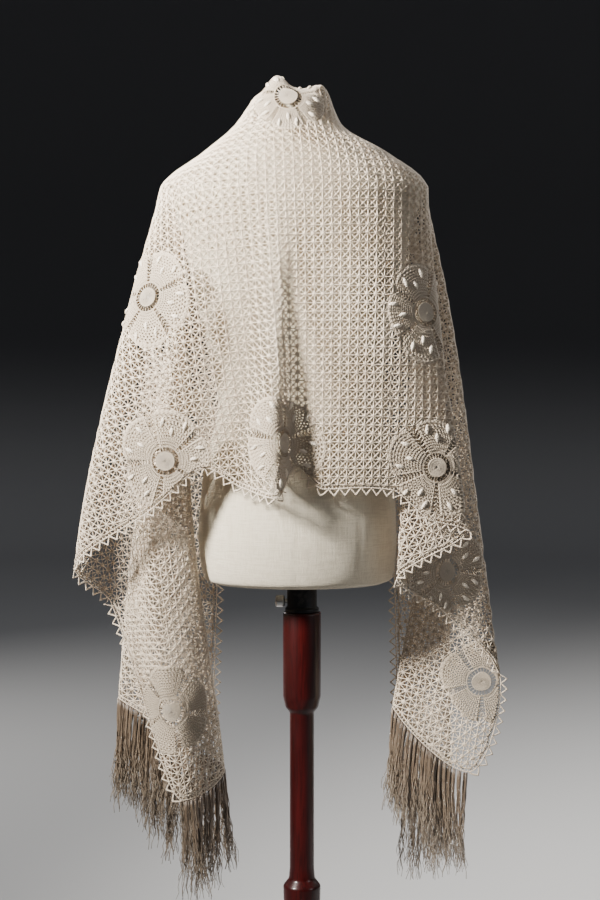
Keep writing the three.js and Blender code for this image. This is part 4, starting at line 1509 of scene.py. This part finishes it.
@dataclass
class Fringe:
    """Loose fringe knotted into a lower edge: locks of thin strands that hang and stray."""

    border: Border
    name: str
    material: bpy.types.Material
    seed: int
    lock_pitch: float = 8.0
    per_lock: int = 13
    length: float = 158.0
    radius: float = 1.05
    rings: int = 16
    sides: int = 3
    sway: float = 7.0
    sway_share: tuple[float, float, float] = (1.0, 0.6, 0.0)
    stray: tuple[float, float, float] = (6.5, 5.5, 0.0)
    crimp: float = 2.3
    root: float = 4.5
    lead: float = 9.0

    def mesh(self) -> Mesh:
        """Work out the strands as thin three-sided tubes.

        A strand leaves the edge in the cloth's own direction and turns down. Its lock sways as one, and
        it strays from its lock with the square of its way down, with a soft crimp.

        Returns:
            (p, 3) points, (f, 4) faces and (p, 2) own places: share of the way down, and the strand.
        """
        rng = np.random.default_rng(self.seed)
        total = self.border.lengths[-1]
        locks = int(total / self.lock_pitch)
        home = (np.arange(locks) + 0.5) / locks * total
        lock = np.repeat(np.arange(locks), self.per_lock)
        count = len(lock)
        spot = home[lock] + rng.normal(0, 1.3, count)
        root, away, up = self.border.at(np.clip(spot, 0, total))
        t = np.linspace(0, 1, self.rings)[None, :, None]
        size = self.length * (0.93 + 0.07 * np.sin(1.7 * lock)) * rng.uniform(0.72, 1.0, count)
        sway = rng.normal(0, self.sway, (locks, 3))[lock] * self.sway_share
        stray = rng.normal(0, 1.0, (count, 3)) * self.stray
        wave = rng.uniform(0, CIRCLE, (count, 1, 2))
        crimp = np.sin(CIRCLE * t * rng.uniform(2.0, 5.0, (count, 1, 1)) + wave) * self.crimp * t
        start = root + self.root * away + up * rng.normal(0, 0.9, count)[:, None]
        lead = self.lead * (1 - np.exp(-5 * t))
        line = start[:, None] + lead * away[:, None] + sway[:, None] * t**1.2 + stray[:, None] * t**2
        line[..., :2] += crimp
        line[..., 2:] -= size[:, None, None] * t
        thin = self.radius * (1 - 0.55 * t[..., 0]) * rng.uniform(0.75, 1.2, (count, 1))
        turn = CIRCLE * np.arange(self.sides) / self.sides
        ring = np.stack([np.cos(turn), np.sin(turn), 0 * turn], axis=-1)
        points = line[:, :, None] + thin[..., None, None] * ring
        ids = np.arange(count * self.rings * self.sides).reshape(count, self.rings, self.sides)
        top = ids[:, 0][:, [0, 1, 2, 2]]
        tip = ids[:, -1][:, [2, 1, 0, 0]]
        down = np.broadcast_to(t[..., None], (*points.shape[:3], 1))
        own = np.broadcast_to((np.arange(count) / count)[:, None, None, None], down.shape)
        uv = np.concatenate([down, own], axis=-1).reshape(-1, 2)
        return points.reshape(-1, 3), np.concatenate([turned_over(bands(ids)), top, tip]), uv

    def build(self, node: str) -> None:
        """Make the fringe and say which solid it stands for."""
        points, faces, uv = self.mesh()
        made = mesh_object(self.name, points, outwards(points, faces), self.material, uv)
        dress(made, "form", node)


def turned(profile: Array, sides: int, origin: Array, axis: str = "z") -> Mesh:
    """Turned piece from a profile that starts and ends on the axis or closes on itself.

    Args:
        profile: (n, 2) radii and heights, outside last when read from the bottom.
        sides: how many sides.
        origin: (3,) foot of the axis.
        axis: "z" for upright, "x" for a piece that lies along -X.

    Returns:
        (p, 3) points, (f, 4) faces and (p, 2) own places.
    """
    angle = CIRCLE * np.arange(sides) / sides
    n = len(profile)
    radius, height = profile[:, :1], profile[:, 1:]
    grid = np.stack([radius * np.cos(angle), radius * np.sin(angle), np.repeat(height, sides, 1)], axis=-1)
    if axis == "x":
        grid = np.stack([-grid[..., 2], grid[..., 1], grid[..., 0]], axis=-1)
    ids = np.arange(n * sides).reshape(n, sides)
    on_axis = profile[:, 0] < 1e-6
    faces = bands(np.where(on_axis[:, None], ids[:, :1], ids))
    low = faces[:, 0] == faces[:, 1]
    faces[low] = faces[low][:, [0, 2, 3, 3]]
    high = faces[:, 2] == faces[:, 3]
    faces[high & ~low] = faces[high & ~low][:, [0, 1, 2, 2]]
    run = np.concatenate([[0], np.cumsum(np.linalg.norm(np.diff(profile, axis=0), axis=1))])
    uv = np.stack(np.broadcast_arrays(angle[None] * 30, run[:, None]), axis=-1) * MM
    points = grid.reshape(-1, 3) + origin
    used, again = np.unique(faces, return_inverse=True)
    again = again.reshape(faces.shape)
    return points[used], outwards(points[used], again), uv.reshape(-1, 2)[used]


def rounded(profile: Sequence[tuple[float, float]], soft: float, steps: int = 5, most: float = 0.45) -> Array:
    """Profile with each inner corner rounded by a quadratic curve between points beside it.

    Args:
        profile: radius and height pairs.
        soft: how far from a corner its curve starts.
        steps: points on each curve.
        most: the largest share of the way to the next corner that a curve takes.

    Returns:
        (n, 2) profile.
    """
    p = np.array(profile, float)
    before, here, after = p[:-2], p[1:-1], p[2:]
    t = np.linspace(0, 1, steps)[None, :, None]

    def near(other: Array) -> Array:
        """Point beside each corner on the way to a neighbour."""
        gap = np.linalg.norm(other - here, axis=1, keepdims=True)
        return here + (other - here) * np.minimum(soft / gap, most)

    a, b = near(before)[:, None], near(after)[:, None]
    curve = (1 - t) ** 2 * a + 2 * t * (1 - t) * here[:, None] + t**2 * b
    return np.concatenate([p[:1], curve.reshape(-1, 2), p[-1:]])


@dataclass
class DressForm:
    """Limbless form covered in linen, with seams, a neck cap and the pole under it."""

    origin: Array
    linen: bpy.types.Material
    wood: bpy.types.Material
    steel: bpy.types.Material
    rings: tuple[tuple[float, float, float, float, float], ...] = (
        (786, -6, 128, 88, 80), (793, -6, 141, 98, 90), (850, -7, 149, 106, 98), (950, -6, 142, 98, 96),
        (1060, -4, 121, 80, 88), (1150, -6, 139, 90, 116), (1225, -7, 155, 95, 130), (1310, -9, 170, 93, 104),
        (1366, -11.9, 191.1, 82, 74), (1384, -11.4, 185.4, 74, 64), (1402, -11.4, 154.4, 66, 60),
        (1420, -12, 124, 60, 56), (1440, -13, 92, 57, 54), (1472, -14, 54, 50, 50), (1497, -14, 49, 47, 47),
    )
    seams: tuple[float, ...] = (-90.0, -52.0, -128.0, 90.0, 48.0, 132.0, 0.0, 180.0)
    seam_depth: float = 0.006
    seam_width: float = 0.022
    smoothness: float = 0.75
    sides: int = 160
    rows: int = 120
    girth: float = 120.0
    lid_gap: float = 0.45
    lid: tuple[tuple[float, float], ...] = ((0, 0), (42, 0), (43, 3), (40, 6), (26, 9), (0, 10))
    pole: tuple[tuple[float, float], ...] = ((0, 480), (11, 480), (11, 790), (0, 790))

    def torso(self) -> Mesh:
        """Cover of the form: half ellipses through a smooth curve of sizes, drawn in at the seams.

        Returns:
            (p, 3) points, (f, 4) faces and (p, 2) own places in metres round and up.
        """
        table = np.array(self.rings)
        at = np.linspace(0, len(table) - 1, self.rows)
        order = np.concatenate([table[:, 1:], table[:, :1]], axis=1)
        low, high = np.floor(at).astype(int), np.minimum(np.floor(at).astype(int) + 1, len(table) - 1)
        straight = order[low] + (at - low)[:, None] * (order[high] - order[low])
        smooth = along(order, np.minimum(at, len(table) - 1 - 1e-6))
        sizes = self.smoothness * smooth + (1 - self.smoothness) * straight
        x, half, back, front, z = sizes.T[..., None]
        angle = CIRCLE * np.arange(self.sides) / self.sides
        seam = np.radians(np.array(self.seams))
        away = np.abs((angle[:, None] - seam + math.pi) % CIRCLE - math.pi).min(axis=1)
        draw = 1 - self.seam_depth * np.exp(-((away / self.seam_width) ** 2))
        px = x + half * np.cos(angle) * draw
        py = np.where(np.sin(angle) < 0, back, front) * np.sin(angle) * draw
        pz = np.broadcast_to(z, px.shape)
        ends = np.array([[float(x[k, 0]), 0, float(z[k, 0])] for k in (0, -1)])
        points, faces = capped(np.stack([px, py, pz], axis=-1), ends)
        around = np.broadcast_to(angle * self.girth, px.shape)
        uv = np.concatenate([np.stack([around, pz], axis=-1).reshape(-1, 2), np.zeros((2, 2))]) * MM
        return points + self.origin, faces, uv

    def build(self) -> None:
        """Make cover, neck cap and pole, each standing for its solid."""
        points, faces, uv = self.torso()
        cover = mesh_object("form_cover", points, outwards(points, faces), self.linen, uv)
        neck = self.rings[-1]
        centre = self.origin + np.array([neck[1], 0, 0])
        lid = rounded([(radius, neck[0] + self.lid_gap + z) for radius, z in self.lid], 2.0)
        cap = mesh_object("neck_lid", *turned(lid, 72, centre)[:2], self.wood)
        rod = mesh_object("steel_pole", *turned(rounded(self.pole, 1.5), 48, self.origin)[:2], self.steel)
        dress(cover, "form", "form_torso")
        dress(cap, "form", "neck_cap")
        dress(rod, "pole", "pole")


@dataclass
class Stand:
    """Turned mahogany stand on three curved legs, with an iron clamp and its steel screw."""

    origin: Array
    wood: bpy.types.Material
    leg_wood: bpy.types.Material
    iron: bpy.types.Material
    steel: bpy.types.Material
    post: tuple[tuple[float, float], ...] = (
        (0, 150), (26, 150), (34, 160), (34, 262), (23, 284), (28, 300), (28.5, 322), (20, 333), (18.5, 350),
        (18.5, 588), (25, 596), (28.5, 612), (28.5, 741), (11.4, 741), (11.4, 470), (0, 470),
    )
    collar: tuple[tuple[float, float], ...] = (
        (11.4, 741.45), (25.5, 741.45), (25.5, 746.45), (22.5, 749.45), (22.5, 778), (19.5, 782), (11.4, 782),
        (11.4, 741.45),
    )
    screw: tuple[tuple[float, float], ...] = (
        (0, 11.4), (3.6, 11.4), (3.6, 26), (8, 26), (9, 28), (9, 38), (7, 40), (0, 40),
    )
    screw_height: float = 757.0
    thick: float = 26.0
    squareness: float = 0.28
    leg_turns: tuple[float, ...] = (90.0, 210.0, 330.0)
    leg_under: tuple[tuple[float, float], ...] = ((34.3, 160), (110, 150), (150, 10), (236, 0))
    leg_pad: tuple[tuple[float, float], ...] = ((262, 0), (284, 0))
    leg_over: tuple[tuple[float, float], ...] = ((34.3, 212), (170, 200), (210, 24), (290, 14))
    leg_toe: tuple[tuple[float, float], ...] = ((291, 12), (292, 5))

    def leg(self, turn: float) -> Mesh:
        """One leg: its lower and upper outlines, with a soft-edged section between them.

        Each outline is a cubic with two handles and goes on to two more points. The section goes round
        a rounded oblong of the leg's height there and the board's thickness.

        Args:
            turn: degrees round the post.

        Returns:
            (p, 3) points, (f, 4) faces and (p, 2) own places.
        """
        t = np.linspace(0, 1, 41)[:, None]
        lower, upper = (
            np.concatenate([
                (1 - t) ** 3 * a + 3 * t * (1 - t) ** 2 * b + 3 * t**2 * (1 - t) * c + t**3 * d,
                np.array(rest, float),
            ])
            for (a, b, c, d), rest in (
                (np.array(self.leg_under, float), self.leg_pad),
                (np.array(self.leg_over, float), self.leg_toe),
            )
        )
        side = CIRCLE * (np.arange(32) + 0.5) / 32
        round_x, round_y = (
            np.sign(wave) * np.abs(wave) ** self.squareness for wave in (np.cos(side), np.sin(side))
        )
        middle, half = 0.5 * (lower + upper), 0.5 * (upper - lower)
        plane = middle[:, None] + half[:, None] * round_y[None, :, None]
        wide = np.broadcast_to(0.5 * self.thick * round_x, plane.shape[:2])
        angle = math.radians(turn)
        out = np.array([math.cos(angle), math.sin(angle), 0])
        across = np.array([-math.sin(angle), math.cos(angle), 0])
        grid = plane[..., :1] * out + wide[..., None] * across
        grid[..., 2] += plane[..., 1]
        points, faces = capped(grid, np.stack([grid[0].mean(axis=0), grid[-1].mean(axis=0)]))
        points = points + self.origin
        uv = np.concatenate([plane.reshape(-1, 2), np.zeros((2, 2))]) * MM
        return points, outwards(points, faces), uv

    def build(self) -> None:
        """Make post, legs, clamp and screw, each standing for its solid."""
        at = self.origin + np.array([0, 0, self.screw_height])
        post = turned(rounded(self.post, 3.0), 96, self.origin)
        collar = turned(rounded(self.collar, 1.2), 72, self.origin)
        screw = turned(rounded(self.screw, 0.8), 40, at, "x")
        dress(mesh_object("turned_post", *post[:2], self.wood), "stand", "stand_post")
        dress(mesh_object("iron_clamp", *collar[:2], self.iron), "stand", "clamp_collar")
        dress(mesh_object("clamp_thumbscrew", *screw[:2], self.steel), "clamp_screw", "clamp_screw")
        for number, turn in enumerate(self.leg_turns, 1):
            points, faces, uv = self.leg(turn)
            foot = mesh_object(f"curved_leg_{number}", points, faces, self.leg_wood, uv)
            dress(foot, "stand", f"leg_{number}")


@dataclass(frozen=True)
class Lamp:
    """One soft lamp: place and target in metres, power in watts and spread in radians."""

    name: str
    place: tuple[float, float, float]
    target: tuple[float, float, float]
    size: float
    power: float
    colour: Colour
    spread: float = math.pi


LAMPS = (
    Lamp("key", (-2.25, -1.5, 2.45), (-0.14, 0.0, 1.42), 0.5, 48, (1.0, 0.965, 0.91), 0.85),
    Lamp("fill", (2.6, -1.4, 1.6), (0.0, 0.0, 1.0), 1.2, 12, (0.95, 0.97, 1.0)),
    Lamp("top", (0.1, -0.3, 3.3), (0.0, 0.0, 1.0), 0.8, 10, (1.0, 1.0, 1.0)),
    Lamp("front_left", (-2.0, 2.7, 2.3), (0.0, 0.0, 1.0), 1.0, 58, (1.0, 0.98, 0.95)),
    Lamp("front_right", (2.6, 1.7, 2.2), (0.0, 0.0, 1.0), 1.0, 50, (0.97, 0.98, 1.0)),
)


@dataclass
class Studio:
    """Camera, round floor and wall, and soft lamps on every side."""

    origin: Array
    distance: float = 2800.0
    height: float = 1155.0
    look: float = 985.0
    side: float = -3.0
    pixels: float = 1870.0
    frame_height: float = 900.0
    sensor: float = 24.0
    room_radius: float = 9000.0
    room_bend: float = 2000.0
    room_height: float = 5000.0
    sky: float = 0.14
    sky_colour: Colour = (0.90, 0.93, 1.0)

    def camera(self) -> None:
        """Set the camera where the photograph was taken from, looking slightly down."""
        data = bpy.data.cameras.new("camera")
        data.sensor_fit = "VERTICAL"
        data.sensor_height = self.sensor
        data.lens = self.sensor * self.pixels / self.frame_height
        data.clip_end = 50
        made = bpy.data.objects.new("camera", data)
        bpy.context.scene.collection.objects.link(made)
        place = (self.origin + np.array([self.side, -self.distance, self.height])) * MM
        target = (self.origin + np.array([self.side, 0, self.look])) * MM
        made.location = place
        made.rotation_euler = Vector(target - place).to_track_quat("-Z", "Y").to_euler()
        bpy.context.scene.camera = made

    def lamp(self, lamp: Lamp) -> None:
        """Add one soft area lamp."""
        data = bpy.data.lights.new(lamp.name, "AREA")
        data.shape = "DISK"
        data.size = lamp.size
        data.energy = lamp.power
        data.color = lamp.colour
        data.spread = lamp.spread
        made = bpy.data.objects.new(lamp.name, data)
        bpy.context.scene.collection.objects.link(made)
        made.location = lamp.place
        made.rotation_euler = (Vector(lamp.target) - Vector(lamp.place)).to_track_quat("-Z", "Y").to_euler()

    def room(self) -> tuple[Array, Array]:
        """Round floor that curves up into a wall far outside every view.

        Returns:
            (p, 3) points in millimetres and (f, 4) faces.
        """
        bend = np.linspace(0, 0.5 * math.pi, 24)
        foot = self.room_radius - self.room_bend
        radius = np.concatenate([[1.0, 0.5 * foot], foot + self.room_bend * np.sin(bend), [self.room_radius]])
        height = np.concatenate([[0.0, 0.0], self.room_bend * (1 - np.cos(bend)), [self.room_height]])
        angle = CIRCLE * np.arange(96) / 96
        axes = (radius[:, None] * np.cos(angle), radius[:, None] * np.sin(angle), height[:, None])
        grid = np.stack(np.broadcast_arrays(*axes), axis=-1)
        ids = np.arange(grid[..., 0].size).reshape(grid.shape[:2])
        return grid.reshape(-1, 3), turned_over(bands(ids))

    def build(self) -> None:
        """Make the floor and wall, the lamps and the pale sky over them."""
        mesh_object("floor_and_wall", *self.room(), StudioPaint().build())
        for lamp in LAMPS:
            self.lamp(lamp)
        world = bpy.data.worlds.new("surroundings")
        world.use_nodes = True
        world.node_tree.nodes["Background"].inputs[0].default_value = (*self.sky_colour, 1)
        world.node_tree.nodes["Background"].inputs[1].default_value = self.sky
        bpy.context.scene.world = world


def main() -> None:
    """Build everything round the frame."""
    logging.basicConfig(level=logging.INFO, format="%(message)s")
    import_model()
    low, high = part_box("stand_post")
    origin = np.array([(low.x + high.x) / 2, (low.y + high.y) / 2, 0.0]) / MM
    studio = Studio(origin)
    studio.camera()
    studio.build()
    cotton = CrochetCotton().build()
    steel = TurnedSteel().build()
    wood = Mahogany().build()
    Stand(origin, wood, Mahogany(grain=Grain.LEVEL).build(), CastIron().build(), steel).build()
    DressForm(origin, LinenCover().build(), wood, steel).build()
    drape = Drape(origin)
    Lace(drape, cotton, PetalCotton().build()).build()
    for name, border, node in (
        ("hem_left", Border.lower(drape, "left_corner", "left_side"), "edging_hem_left"),
        ("hem_back", Border.lower(drape, "left_side", "right_side"), "edging_hem_back"),
        ("hem_right", Border.lower(drape, "right_side", "right_corner"), "edging_hem_right"),
        ("front_left", Border.front(drape, "left_edge", -1), "edging_front_left"),
        ("front_right", Border.front(drape, "right_edge", 1), "edging_front_right"),
        ("collar_edge", Border.collar(drape), "edging_collar"),
    ):
        Edging(border, name, cotton).build(node)
    silk = SilkFringe().build()
    for seed, side, start, stop in (
        (20, "left", "left_edge", "left_corner"),
        (21, "right", "right_corner", "right_edge"),
    ):
        border = Border.lower(drape, start, stop)
        Edging(border, f"tail_band_{side}", cotton, plain=True).build()
        Fringe(border, f"silk_{side}", silk, seed).build(f"fringe_{side}")


if __name__ == "__main__":
    main()
